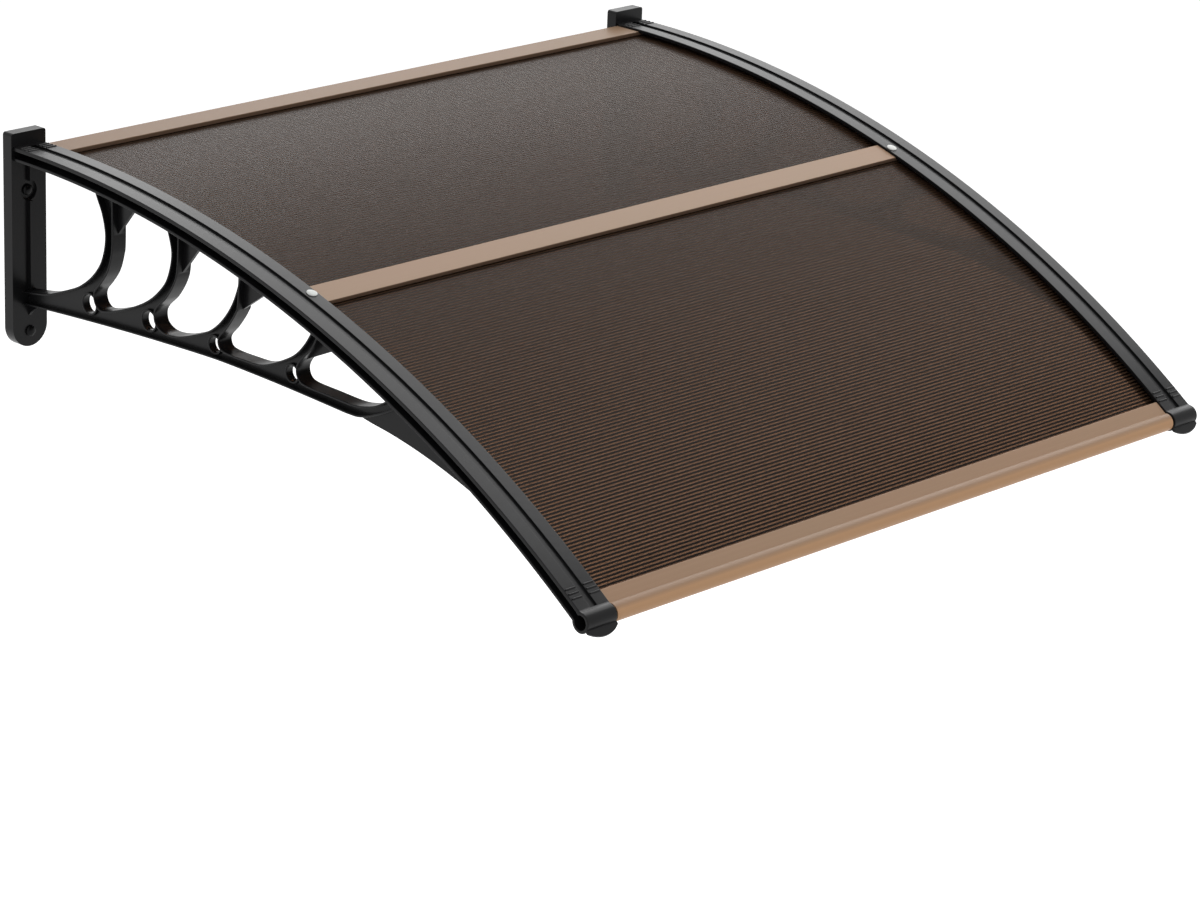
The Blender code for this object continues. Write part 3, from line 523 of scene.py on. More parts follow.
def shown_mesh(item):
    """A new mesh of what an object shows, with its modifiers."""
    bpy.context.view_layer.update()
    graph = bpy.context.evaluated_depsgraph_get()
    return bpy.data.meshes.new_from_object(item.evaluated_get(graph))


def clear_helpers(helpers):
    for item in helpers:
        mesh = item.data
        bpy.data.objects.remove(item, do_unlink=True)
        bpy.data.meshes.remove(mesh)


class Workshop:
    """Holds the shapes that one piece is joined and cut from, and hands over its finished mesh."""

    def __init__(self):
        self.helpers = []

    def form(self, name, bm):
        mesh = bpy.data.meshes.new(name)
        bm.to_mesh(mesh)
        bm.free()
        item = in_scene(name, mesh)
        self.helpers.append(item)
        return item

    def combine(self, target, tool, operation):
        modifier = target.modifiers.new(tool.name, "BOOLEAN")
        modifier.operation = operation
        modifier.solver = "MANIFOLD"
        modifier.object = tool

    def join(self, target, bm):
        self.combine(target, self.form("joined", bm), "UNION")

    def cut(self, target, bm):
        self.combine(target, self.form("cutter", bm), "DIFFERENCE")

    def finished(self, target, name, sharp_angle=radians(40)):
        """The target's mesh with its joins and cuts made, smooth but for its sharp edges."""
        mesh = shown_mesh(target)
        mesh.name = name
        bm = bmesh.new()
        bm.from_mesh(mesh)
        bmesh.ops.dissolve_degenerate(bm, edges=bm.edges, dist=1e-6)
        bm.to_mesh(mesh)
        bm.free()
        if not mesh.polygons:
            raise RuntimeError(f"{name} came out empty")
        mesh.shade_smooth()
        mesh.set_sharp_from_angle(angle=sharp_angle)
        clear_helpers(self.helpers)
        self.helpers = []
        return mesh


def dress(name, mesh, material, node, matrix=None):
    """Shows a fine piece in place of its CAD node."""
    mesh.materials.clear()
    mesh.materials.append(material)
    if matrix:
        mesh.transform(matrix)
    item = in_scene(name, mesh)
    shading = item.modifiers.new("even_normals", "WEIGHTED_NORMAL")
    shading.keep_sharp = True
    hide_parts(node)
    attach(item, "root")
    return item


def solid_of(curve_data, matrix):
    """A curve turned into a closed mesh in world space, its caps welded on."""
    holder = in_scene("outline", curve_data)
    mesh = shown_mesh(holder)
    bm = bmesh.new()
    bm.from_mesh(mesh)
    bmesh.ops.transform(bm, matrix=matrix, verts=bm.verts)
    bmesh.ops.remove_doubles(bm, verts=bm.verts, dist=1e-6)
    bmesh.ops.recalc_face_normals(bm, faces=bm.faces)
    bpy.data.objects.remove(holder)
    bpy.data.curves.remove(curve_data)
    bpy.data.meshes.remove(mesh)
    return bm


def extruded(outlines, thickness, matrix, edge=0.0):
    """A flat outline, with any holes in it, given a thickness along its normal and rounded edges."""
    curve = bpy.data.curves.new("outline", "CURVE")
    curve.dimensions = "2D"
    curve.fill_mode = "BOTH"
    curve.extrude = thickness / 2 - edge
    curve.bevel_depth = edge
    curve.bevel_resolution = 2
    curve.offset = -edge
    for outline in outlines:
        spline = curve.splines.new("POLY")
        spline.points.add(len(outline) - 1)
        for point, (across, up) in zip(spline.points, outline):
            point.co = (across, up, 0, 1)
        spline.use_cyclic_u = True
    return solid_of(curve, matrix)


def side_solid(outlines, x_from, x_to, place=None, edge=0.0):
    """A side outline extruded from one x to the other, in the frame of the arc if one is given."""
    matrix = Matrix.Translation(((x_from + x_to) / 2, 0, 0)) @ (place or Matrix()) @ SIDE_VIEW
    return extruded(outlines, abs(x_to - x_from), matrix, edge)


def eased(outline, radius, steps=3):
    """A closed outline with every corner rounded."""
    made = []
    for i, corner in enumerate(outline):
        here = Vector(corner)
        back = Vector(outline[i - 1]) - here
        ahead = Vector(outline[(i + 1) % len(outline)]) - here
        cut = min(radius, back.length * 0.45, ahead.length * 0.45)
        start = here + back.normalized() * cut
        end = here + ahead.normalized() * cut
        for step in range(steps + 1):
            t = step / steps
            made.append(tuple(start * (1 - t) ** 2 + here * (2 * t * (1 - t)) + end * t ** 2))
    return made


def stray(point, start, end):
    """How far a point lies from the line between two others."""
    run = (end[0] - start[0], end[1] - start[1])
    return abs(run[0] * (point[1] - start[1]) - run[1] * (point[0] - start[0])) / hypot(*run)


def thinned(path):
    """The path with every point left out that a straight facet may skip."""
    kept = [path[0]]
    first = 0
    for last in range(2, len(path)):
        if any(stray(p, path[first], path[last]) > EASE for p in path[first + 1 : last]):
            first = last - 1
            kept.append(path[first])
    return [*kept, path[-1]]


def smooth_path(points, steps=14):
    """A Catmull-Rom curve through points in millimetres, thinned to as few facets as it needs."""
    points = [(out * MM, up * MM) for out, up in points]
    ends = [points[0], *points, points[-1]]
    path = []
    for a, b, c, d in zip(ends, ends[1:], ends[2:], ends[3:]):
        for step in range(steps):
            t = step / steps
            weights = (
                (-t + 2 * t * t - t ** 3) / 2,
                (2 - 5 * t * t + 3 * t ** 3) / 2,
                (t + 4 * t * t - 3 * t ** 3) / 2,
                (-t * t + t ** 3) / 2,
            )
            path.append(tuple(sum(w * p[i] for w, p in zip(weights, (a, b, c, d))) for i in (0, 1)))
    return thinned([*path, points[-1]])


def right_hand(path):
    """A unit vector to the right of the path at each of its points."""
    sides = []
    for i in range(len(path)):
        before = path[max(i - 1, 0)]
        after = path[min(i + 1, len(path) - 1)]
        run = (after[0] - before[0], after[1] - before[1])
        size = hypot(*run)
        sides.append((run[1] / size, -run[0] / size))
    return sides


def offset_path(path, distance):
    """The path moved to its right by a distance."""
    return [(p[0] + s[0] * distance, p[1] + s[1] * distance) for p, s in zip(path, right_hand(path))]


def circle(centre, radius, count, start=0.0, end=2 * pi):
    """Points round a circle, or along an arc of it that takes in both ends."""
    steps = count if end - start >= 2 * pi else count - 1
    turns = [start + (end - start) * i / steps for i in range(count)]
    return [(centre[0] + radius * cos(t), centre[1] + radius * sin(t)) for t in turns]


def arc_height(out, over):
    """Height of the arc, raised by a distance square to it, at a distance out from the wall."""
    return sqrt((ARC_RADIUS + over) ** 2 - (out - ARC_CENTRE_OUT) ** 2) - ARC_RADIUS


def height_over_arc(out, up):
    return hypot(out - ARC_CENTRE_OUT, up + ARC_RADIUS) - ARC_RADIUS


def on_arc(angle, over):
    radius = ARC_RADIUS + over
    return (ARC_CENTRE_OUT + radius * sin(angle), radius * cos(angle) - ARC_RADIUS)


def arc_frame(angle):
    """A frame whose side view has its origin on the arc: out runs along the arc and up is square to it."""
    turn = Matrix.Rotation(angle, 4, "X")
    return Matrix.Translation(ARC_CENTRE) @ turn @ Matrix.Translation((0, 0, ARC_RADIUS))


def angle_at(out):
    return atan2(out - ARC_CENTRE_OUT, ARC_RADIUS)


def along(distance):
    """The angle that a distance along the arc takes up."""
    return distance / ARC_RADIUS


def spun(bm, geometry, centre, axis, angle, steps):
    """Adds the skin that geometry leaves behind when it is turned about an axis."""
    bmesh.ops.spin(bm, geom=geometry, cent=centre, axis=axis, angle=angle, steps=steps, use_duplicate=False)


def swept(section, x_middle, angle_from, angle_to):
    """A section, as (across, over the arc), carried along the arc."""
    start = Matrix.Translation((x_middle, 0, 0)) @ arc_frame(angle_from)
    angle = angle_to - angle_from
    bm = bmesh.new()
    face = bm.faces.new([bm.verts.new(start @ Vector((across, 0, over))) for across, over in section])
    spun(bm, [face, *face.edges, *face.verts], ARC_CENTRE, (1, 0, 0), angle, ceil(angle / SWEEP_STEP))
    bmesh.ops.recalc_face_normals(bm, faces=bm.faces)
    return bm


def turned(profile, segments):
    """A profile of (radius, height) pairs, closed on itself or on the axis, turned about its own Z axis."""
    bm = bmesh.new()
    points = [bm.verts.new((radius, 0, height)) for radius, height in profile]
    edges = [bm.edges.new(pair) for pair in zip(points, points[1:])]
    if profile[0][0] > 1e-7:
        edges.append(bm.edges.new((points[-1], points[0])))
    spun(bm, [*points, *edges], (0, 0, 0), (0, 0, 1), 2 * pi, segments)
    bmesh.ops.remove_doubles(bm, verts=bm.verts, dist=1e-7)
    bmesh.ops.recalc_face_normals(bm, faces=bm.faces)
    return bm


def placed(bm, centre, axis):
    """A turned shape with its axis laid along a direction and its origin on a point."""
    turn = Vector((0, 0, 1)).rotation_difference(Vector(axis)).to_matrix().to_4x4()
    bmesh.ops.transform(bm, matrix=Matrix.Translation(centre) @ turn, verts=bm.verts)
    return bm


def rod(radius, length, segments, edge=0.0):
    """A round bar about its own Z axis, its ends eased."""
    half = length / 2
    cut = edge * ROUND
    rounding = [(radius - edge, half), (radius - cut, half - cut)] if edge else []
    top = [(0, half), *rounding, (radius, half - edge)]
    return turned([*top, *((r, -h) for r, h in reversed(top))], segments)


def box(low, high, place=None):
    bm = bmesh.new()
    bmesh.ops.create_cube(bm, size=1)
    size = [b - a for a, b in zip(low, high)]
    middle = [(a + b) / 2 for a, b in zip(low, high)]
    matrix = (place or Matrix()) @ Matrix.Translation(middle) @ Matrix.Diagonal((*size, 1))
    bmesh.ops.transform(bm, matrix=matrix, verts=bm.verts)
    return bm


def both_sides(right):
    """A symmetrical outline from its right half."""
    return right + [(-across, over) for across, over in reversed(right)]


def arm_section(edge):
    """The arm's H section, with eased edges."""
    half = ARM_WIDTH / 2
    web = ARM_WEB / 2
    slot = SLOT_HEIGHT / 2
    right = [(half, ARM_UNDER), (half, -slot), (web, -slot), (web, slot), (half, slot), (half, ARM_TOP)]
    return eased(both_sides(right), edge)


def groove_section(edge):
    """What is cut from the top flange: a groove with a round-cornered floor and eased lips."""
    half = GROOVE_WIDTH / 2
    low = ARM_TOP - GROOVE_DEPTH
    cut = edge * ROUND
    floor = [(half - edge, low), (half - cut, low + cut), (half, low + edge)]
    lip = [(half, ARM_TOP - edge), (half + cut, ARM_TOP - cut), (half + edge * 1.4, ARM_TOP + edge * 0.2)]
    return both_sides(floor + lip)


def plate_outline():
    """The wall plate from the front: square at the top with eased corners, a half circle at the foot."""
    half = PLATE_WIDTH / 2
    foot = PLATE_TOP - PLATE_HEIGHT + half
    top = PLATE_TOP - PLATE_CORNER
    return [
        *circle((0, foot), half, 49, pi, 2 * pi),
        *circle((half - PLATE_CORNER, top), PLATE_CORNER, 8, 0, pi / 2),
        *circle((PLATE_CORNER - half, top), PLATE_CORNER, 8, pi / 2, pi),
    ]


def wall_plate():
    """The plate with its front edge rounded over."""
    front_view = Matrix(((1, 0, 0, -ARM_MIDDLE), (0, 0, -1, -PLATE_DEPTH / 2), (0, 1, 0, 0), (0, 0, 0, 1)))
    bm = extruded([plate_outline()], PLATE_DEPTH, front_view)
    rim = [e for e in bm.edges if all(v.co.y < -PLATE_DEPTH + 1e-5 for v in e.verts)]
    rim = [e for e in rim if any(abs(f.normal.y) < 0.5 for f in e.link_faces)]
    how = {"segments": 5, "profile": 0.5, "affect": "EDGES", "clamp_overlap": True}
    bmesh.ops.bevel(bm, geom=rim, offset=PLATE_EDGE, **how)
    return bm


def under_arm(path, over):
    """The part of a path that lies under the arc, raised by a distance, and ends where it meets it."""
    rise = [height_over_arc(*point) - over for point in path]
    kept = []
    for start, end, rise_a, rise_b in zip(path, path[1:], rise, rise[1:]):
        if rise_a < 0:
            kept.append(start)
        if rise_a * rise_b < 0:
            share = rise_a / (rise_a - rise_b)
            kept.append(tuple(a + (b - a) * share for a, b in zip(start, end)))
    return [*kept, path[-1]] if rise[-1] < 0 else kept


def opening_outline(path, gusset):
    """An opening as it goes through the web, closed by the arm along its top."""
    buried = ARM_UNDER + BURIED
    path = under_arm(path, buried)
    if gusset:
        rim_up, arm_out = gusset
        below = next(i for i, p in enumerate(path) if p[1] < rim_up * MM)
        above, under = path[below - 1], path[below]
        share = (above[1] - rim_up * MM) / (above[1] - under[1])
        foot = (above[0] + (under[0] - above[0]) * share, rim_up * MM)
        path = [(arm_out * MM, arc_height(arm_out * MM, buried)), foot, *path[below:]]
    first, last = path[0][0], path[-1][0]
    top = [last + (first - last) * i / 8 for i in range(9)]
    return [*path, *((out, arc_height(out, buried)) for out in top[1:-1])]


def web_outline(rim_thickness):
    """The web's edge: along the plate, the chord, the fin and back inside the arm's lower flange."""
    buried = ARM_UNDER + 2 * BURIED
    chord = offset_path(smooth_path(CHORD_BOTTOM), -rim_thickness / 2)
    chord = [p for p in chord if PLATE_FILLET[-1][0] * MM < p[0] < FIN_BOTTOM[0][0] * MM]
    fin = under_arm(smooth_path(FIN_BOTTOM), buried)
    low = [*smooth_path(PLATE_FILLET), *chord, *fin]
    start, end = low[0][0], low[-1][0]
    top = [end + (start - end) * i / 30 for i in range(31)]
    return [*low, *((out, arc_height(out, buried)) for out in top)]


def rim_band(path, settings):
    """A round-edged band that follows a path in the side view, centred on it."""
    half = settings.rim_width / 2
    thick = settings.rim_thickness / 2
    section = eased([(-half, -thick), (half, -thick), (half, thick), (-half, thick)], settings.edge_radius)
    bm = bmesh.new()
    rows = []
    for (out, up), (aside, rise) in zip(path, right_hand(path)):
        spots = [(across - ARM_MIDDLE, -out - aside * over, up + rise * over) for across, over in section]
        rows.append([bm.verts.new(spot) for spot in spots])
    for row, following in zip(rows, rows[1:]):
        for i in range(len(section)):
            bm.faces.new((row[i - 1], row[i], following[i], following[i - 1]))
    bm.faces.new(rows[0])
    bm.faces.new(rows[-1])
    bmesh.ops.recalc_face_normals(bm, faces=bm.faces)
    return bm


def scrollwork(shop, settings):
    """The panel under the arm: a web, its rims and chord, and a ring round each eye."""
    centre = -ARM_MIDDLE
    half = settings.web_thickness / 2
    thick = settings.rim_thickness
    paths = [smooth_path(points) for points in OPENINGS]
    holes = [opening_outline(offset_path(path, thick / 2), gusset) for path, gusset in zip(paths, GUSSETS)]
    holes[0] = [(PLATE_DEPTH + PLATE_RIB, arc_height(PLATE_DEPTH, ARM_UNDER + BURIED)), *holes[0]]
    panel = shop.form("web", side_solid([web_outline(thick), *holes], centre - half, centre + half))
    paths[0] = [(PLATE_DEPTH - 2 * BURIED, paths[0][0][1] - BURIED), *paths[0]]
    bands = [offset_path(under_arm(path, ARM_UNDER + 2 * BURIED), thick / 2) for path in paths]
    chord = under_arm(smooth_path(CHORD_BOTTOM), ARM_UNDER + 2 * BURIED)
    bands.append(offset_path(chord, -thick / 2))
    for band in bands:
        shop.join(panel, rim_band(band, settings))
    for out, up, radius in EYES:
        middle = (centre, -out * MM, up * MM)
        inner = radius * MM
        outer = inner + EYE_RING
        end = EYE_DEPTH / 2
        ring = eased([(inner, end), (outer, end), (outer, -end), (inner, -end)], settings.edge_radius)
        shop.cut(panel, placed(rod(inner + EYE_RING / 2, 2 * EYE_DEPTH, 64), middle, (1, 0, 0)))
        shop.join(panel, placed(turned(ring, 64), middle, (1, 0, 0)))
    return panel


def knuckle_frame(slope):
    """A frame on the knuckle's axis whose side view points down and out at a slope."""
    return Matrix.Translation(arc_frame(KNUCKLE_ANGLE).translation) @ Matrix.Rotation(slope, 4, "X")


def drip_tab(edge):
    """A flat tab under the front of the knuckle, its front edge a shallow bow."""
    half = ARM_WIDTH / 2
    open_angle = pi / 2 - atan2(half, sqrt(TAB_BOW ** 2 - half ** 2))
    bow = circle((0, TAB_REACH - TAB_BOW), TAB_BOW, 33, open_angle, pi - open_angle)
    middle = TAB_THICKNESS / 2 - BURIED / 3
    plan = Matrix(((1, 0, 0, -ARM_MIDDLE), (0, -1, 0, 0), (0, 0, -1, middle), (0, 0, 0, 1)))
    return extruded([[(-half, 0), (half, 0), *bow]], TAB_THICKNESS, knuckle_frame(TAB_SLOPE) @ plan, edge)


def knuckle_fillet(edge):
    """The hollow curve between the top flange and the knuckle."""
    radius = KNUCKLE_FILLET
    centre_over = ARM_TOP + radius
    centre_out = -sqrt((KNUCKLE_RADIUS + radius) ** 2 - centre_over ** 2)
    hollow = circle((centre_out, centre_over), radius, 12, -pi / 2, atan2(-centre_over, -centre_out))
    outline = [(centre_out, ARM_TOP - BURIED), (0, ARM_TOP - BURIED), *reversed(hollow)]
    ends = (edge / 2 - ARM_FACE, KNUCKLE_WIDTH - edge - ARM_FACE)
    return side_solid([outline], *ends, arc_frame(KNUCKLE_ANGLE))


def ridge_rows():
    """The angle of each row of grip ridges along the arc."""
    rear = [along(REAR_RIDGE_START + i * REAR_RIDGE_PITCH) for i in range(RIDGE_COUNT)]
    front = [along(FRONT_RIDGE_START + i * FRONT_RIDGE_PITCH) for i in range(RIDGE_COUNT)]
    return [angle_at(PLATE_DEPTH) + angle for angle in rear] + [KNUCKLE_ANGLE - angle for angle in front]


def add_ridges(shop, bracket):
    """Grip ridges on both halves of the top flange, at both ends of the arm."""
    low = ARM_TOP - BURIED
    high = ARM_TOP + RIDGE_HEIGHT
    half = RIDGE_WIDTH / 2
    outline = both_sides([(half, low), (half, ARM_TOP), (half / 3, high)])
    inner = GROOVE_WIDTH / 2 + RIDGE_EDGE / 2
    outer = ARM_WIDTH / 2 - RIDGE_EDGE
    for angle in ridge_rows():
        for side in (-1, 1):
            ends = sorted((-ARM_MIDDLE + side * inner, -ARM_MIDDLE + side * outer))
            bm = side_solid([eased(outline, 0.0004, 2)], *ends, arc_frame(angle), 0.0003)
            shop.join(bracket, bm)


def screw_places():
    """Heights of a wall plate's upper and lower screws."""
    upper = PLATE_TOP - UPPER_HOLE_DROP
    return upper, upper - HOLE_SPACING


def knuckle_middle():
    """The middle of the left knuckle, on its axis."""
    return arc_frame(KNUCKLE_ANGLE) @ Vector((KNUCKLE_WIDTH / 2 - KNUCKLE_PROUD - ARM_FACE, 0, 0))


def bar_screw_hole(side, over, length):
    """What is drilled for the bar screw on one side, its middle at a height over the arc."""
    place = arc_frame(MIDDLE_BAR_ANGLE)
    middle = place @ Vector((side * (ARM_FACE - BAR_SCREW_INSET), 0, over))
    return placed(rod(BAR_SCREW_SHANK + SHANK_PLAY, length, 32), middle, place.to_3x3() @ Vector((0, 0, 1)))


def bracket_cutters(edge):
    """Everything that is cut from the joined bracket."""
    cut = edge * ROUND
    groove_start = angle_at(PLATE_DEPTH + GROOVE_WALL_GAP)
    groove_end = KNUCKLE_ANGLE - along(GROOVE_KNUCKLE_GAP)
    cutters = [swept(groove_section(edge * 0.7), -ARM_MIDDLE, groove_start, groove_end)]
    mouth = KNUCKLE_WIDTH / 2
    bore = [
        (0, mouth + BURIED),
        (KNUCKLE_BORE + edge + BURIED, mouth + BURIED),
        (KNUCKLE_BORE + edge, mouth),
        (KNUCKLE_BORE + cut, mouth - cut),
        (KNUCKLE_BORE, mouth - edge),
        (KNUCKLE_BORE, KNUCKLE_END_WALL - mouth),
        (0, KNUCKLE_END_WALL - mouth),
    ]
    cutters.append(placed(turned(bore, 72), knuckle_middle(), (-1, 0, 0)))
    low = (-ARM_FACE - BURIED, KNUCKLE_BORE - BURIED, -SLOT_HEIGHT / 2)
    high = (-ARM_MIDDLE - ARM_WEB / 2, KNUCKLE_RADIUS + BURIED, SLOT_HEIGHT / 2)
    cutters.append(box(low, high, arc_frame(KNUCKLE_ANGLE)))
    for up in screw_places():
        hole = rod(HOLE_RADIUS, 2 * PLATE_DEPTH, 48)
        cutters.append(placed(hole, (-ARM_MIDDLE, -PLATE_DEPTH / 2, up), (0, 1, 0)))
    recess = [
        (0, 0),
        (RECESS_RADIUS - edge, 0),
        (RECESS_RADIUS - cut, cut),
        (RECESS_RADIUS, edge),
        (RECESS_RADIUS, RECESS_DEPTH - edge * 0.5),
        (RECESS_RADIUS + edge * 0.5, RECESS_DEPTH),
        (RECESS_RADIUS + edge * 0.6, 2 * RECESS_DEPTH + PLATE_RIB),
        (0, 2 * RECESS_DEPTH + PLATE_RIB),
    ]
    recess_floor = (-ARM_MIDDLE, RECESS_DEPTH - PLATE_DEPTH, screw_places()[0])
    cutters.append(placed(turned(recess, 72), recess_floor, (0, -1, 0)))
    cutters.append(bar_screw_hole(-1, ARM_TOP, 2 * TOP_FLANGE + SLOT_HEIGHT))
    return cutters


def make_bracket_mesh(settings):
    """The left bracket, one moulding: wall plate, arm, scrollwork, knuckle and drip tab."""
    shop = Workshop()
    edge = settings.edge_radius
    start = angle_at(PLATE_DEPTH - 4 * BURIED)
    bracket = shop.form("bracket", swept(arm_section(edge), -ARM_MIDDLE, start, KNUCKLE_ANGLE))
    knuckle = placed(rod(KNUCKLE_RADIUS, KNUCKLE_WIDTH, 96, 1.4 * edge), knuckle_middle(), (1, 0, 0))
    shop.combine(bracket, scrollwork(shop, settings), "UNION")
    for bm in (wall_plate(), knuckle, drip_tab(edge), knuckle_fillet(edge)):
        shop.join(bracket, bm)
    add_ridges(shop, bracket)
    for bm in bracket_cutters(edge):
        shop.cut(bracket, bm)
    return shop.finished(bracket, "left_bracket_moulding")


def mirrored(mesh, name):
    """The same moulding for the other side."""
    bm = bmesh.new()
    bm.from_mesh(mesh)
    bmesh.ops.transform(bm, matrix=Matrix.Scale(-1, 4, (1, 0, 0)), verts=bm.verts)
    bmesh.ops.reverse_faces(bm, faces=bm.faces)
    other = bpy.data.meshes.new(name)
    bm.to_mesh(other)
    bm.free()
    return other


def sheet_levels(settings):
    """Heights of the lower skin, the flutes' floor, the flutes' roof and the upper skin over the arc."""
    under = SLOT_FLOOR + BAR_WALL + FIT
    top = under + SHEET_THICKNESS
    return under, under + settings.skin, top - settings.skin, top


def flute_pitch(settings, angle_from, angle_to):
    """The angle from rib to rib, with whole flutes between the sheet's ends."""
    angle = angle_to - angle_from
    return angle / round(angle * ARC_RADIUS / settings.flute_pitch)


def make_sheet_mesh(name, settings, angle_from, angle_to):
    """A twin-wall sheet bent along the arc, every flute open from side to side."""
    levels = sheet_levels(settings)
    pitch = flute_pitch(settings, angle_from, angle_to)
    half_rib = along(settings.rib / 2)
    lines = [(angle_from, 0.0)]
    for i in range(round((angle_to - angle_from) / pitch)):
        start = angle_from + i * pitch
        lines += [(start + half_rib, 0.0), (start + pitch / 2, SKIN_SAG), (start + pitch - half_rib, 0.0)]
    lines.append((angle_to, 0.0))
    bm = bmesh.new()
    grid = []
    for x in (-SPAN_HALF, SPAN_HALF):
        column = []
        for angle, dip in lines:
            heights = (levels[0] + dip, levels[1], levels[2], levels[3] - dip)
            spots = [on_arc(angle, over) for over in heights]
            column.append([bm.verts.new((x, -out, up)) for out, up in spots])
        grid.append(column)
    left, right = grid
    for i in range(len(lines) - 1):
        in_rib = i % 3 == 0
        for level in (0, 3) if in_rib else (0, 1, 2, 3):
            bm.faces.new((left[i][level], left[i + 1][level], right[i + 1][level], right[i][level]))
        for column in grid:
            here, ahead = column[i], column[i + 1]
            for level in (0, 1, 2) if in_rib else (0, 2):
                bm.faces.new((here[level], ahead[level], ahead[level + 1], here[level + 1]))
        for line in (i, i + 1) if in_rib else ():
            here, across = left[line], right[line]
            for level in (0, 1, 2) if line in (0, len(lines) - 1) else (1,):
                bm.faces.new((here[level], here[level + 1], across[level + 1], across[level]))
    bmesh.ops.recalc_face_normals(bm, faces=bm.faces)
    return mesh_of(bm, name, radians(15))


def bent(outline):
    """An outline in the frame of the arc, laid along the bend instead of on its tangent."""
    return [(out, over - out ** 2 / (2 * ARC_RADIUS)) for out, over in outline]


def rectangle(low, high):
    return [low, (high[0], low[1]), high, (low[0], high[1])]


def bar_levels(settings):
    """Heights over the arc of the floor and the roof of the slot that a bar has for a sheet."""
    lip = SLOT_FLOOR + settings.wall
    return lip, lip + 2 * FIT + SHEET_THICKNESS


def notch_ends(shop, bar, place, gap, low, high):
    """Mill away a bar's ends in the arms, between two corners that are given in its frame as (y, z)."""
    for side in (-1, 1):
        ends = sorted((side * (ARM_INNER - gap), side * (SPAN_HALF + BURIED)))
        shop.cut(bar, box((ends[0], *low), (ends[1], *high), place))


def bar_form(shop, outlines, place, gap, back, front):
    """A bar from arm to arm, its ends milled so that they pass under the arms' top flanges."""
    bar = shop.form("bar", side_solid(outlines, -SPAN_HALF, SPAN_HALF, place))
    notch_ends(shop, bar, place, gap, (-front - BURIED, SLOT_ROOF), (-back + BURIED, NOSE_RADIUS + BURIED))
    return bar


def middle_bar_mesh(settings):
    """An H bar between the two sheets, with a hollow top and a screw hole at each end."""
    shop = Workshop()
    wall = settings.wall
    lip, floor = bar_levels(settings)
    half = MIDDLE_BAR_WIDTH / 2
    spine = BAR_SPINE / 2
    right = [(half, SLOT_FLOOR), (half, lip), (spine, lip), (spine, floor), (half, floor), (half, BAR_TOP)]
    hollow = rectangle((wall - half, floor + wall / 2), (half - wall, BAR_TOP - wall))
    outlines = [bent(eased(both_sides(right), settings.edge_radius)), bent(hollow)]
    bar = bar_form(shop, outlines, arc_frame(MIDDLE_BAR_ANGLE), BAR_ARM_GAP, -half, half)
    for side in (-1, 1):
        shop.cut(bar, bar_screw_hole(side, floor, 2 * SHEET_THICKNESS))
    return shop.finished(bar, "middle_bar_profile", radians(35))


def rear_bar_mesh(settings):
    """The bar against the wall plates: a deep hollow back and a lip that takes the rear sheet."""
    shop = Workshop()
    wall = settings.wall
    lip, floor = bar_levels(settings)
    half = REAR_BAR_WIDTH / 2
    place = arc_frame(angle_at(PLATE_DEPTH + FIT + half))
    spine = half - SHEET_GRIP - FIT
    outline = [
        (-half, SLOT_FLOOR), (half, SLOT_FLOOR), (half, lip), (spine, lip),
        (spine, floor), (half, floor), (half, BAR_TOP), (-half, BAR_TOP),
    ]
    back_cell = rectangle((wall - half, lip), (spine - BAR_SPINE, floor))
    top_cell = rectangle((wall - half, floor + wall / 2), (half - wall, BAR_TOP - wall))
    outlines = [bent(eased(outline, settings.edge_radius)), bent(back_cell), bent(top_cell)]
    bar = bar_form(shop, outlines, place, BAR_ARM_GAP, -half, half)
    return shop.finished(bar, "rear_bar_profile", radians(35))


def front_bar_mesh(settings):
    """The bar at the front edge: a hollow flat band that takes the front sheet, and a round hollow nose."""
    shop = Workshop()
    wall = settings.wall
    lip, floor = bar_levels(settings)
    place = arc_frame(KNUCKLE_ANGLE)
    back = -FRONT_BAND_BACK
    stop = back + SHEET_GRIP + FIT
    join_low = -sqrt(NOSE_RADIUS ** 2 - SLOT_FLOOR ** 2)
    join_top = -sqrt(NOSE_RADIUS ** 2 - FRONT_BAND_TOP ** 2)
    nose = circle((0, 0), NOSE_RADIUS, 72, atan2(SLOT_FLOOR, join_low), atan2(FRONT_BAND_TOP, join_top))
    grip = [
        (back, FRONT_BAND_TOP), (back, floor), (stop, floor),
        (stop, lip), (back, lip), (back, SLOT_FLOOR),
    ]
    grip = eased([nose[-1], *bent(grip), nose[0]], settings.edge_radius)[4:-4]
    nose_cell = circle((0, 0), NOSE_RADIUS - NOSE_WALL, 60)
    top_cell = rectangle((back + wall, floor + wall), (join_top - 2 * wall, FRONT_BAND_TOP - wall))
    outlines = [[*nose, *grip], nose_cell, bent(top_cell)]
    bar = bar_form(shop, outlines, place, NOSE_ARM_GAP, back, NOSE_RADIUS)
    low = (-NOSE_RADIUS - BURIED, -NOSE_RADIUS - BURIED)
    notch_ends(shop, bar, place, NOSE_ARM_GAP, low, (KNUCKLE_RADIUS + NOSE_ARM_GAP, NOSE_RADIUS))
    return shop.finished(bar, "front_bar_profile", radians(35))


def domed(head_radius, dome, shank_radius, shank_length):
    """Profile of a round-headed fastener whose head sits on height 0."""
    edge = dome * 0.3
    head = [(head_radius * sin(t), edge + (dome - edge) * cos(t)) for t in (i * pi / 24 for i in range(13))]
    rim = [(head_radius, edge * 0.5), (head_radius * 0.985, 0)]
    return [*head, *rim, (shank_radius, 0), (shank_radius, -shank_length), (0, -shank_length)]


def mesh_of(bm, name, sharp_angle=radians(40)):
    mesh = bpy.data.meshes.new(name)
    bm.to_mesh(mesh)
    bm.free()
    mesh.shade_smooth()
    mesh.set_sharp_from_angle(angle=sharp_angle)
    return mesh


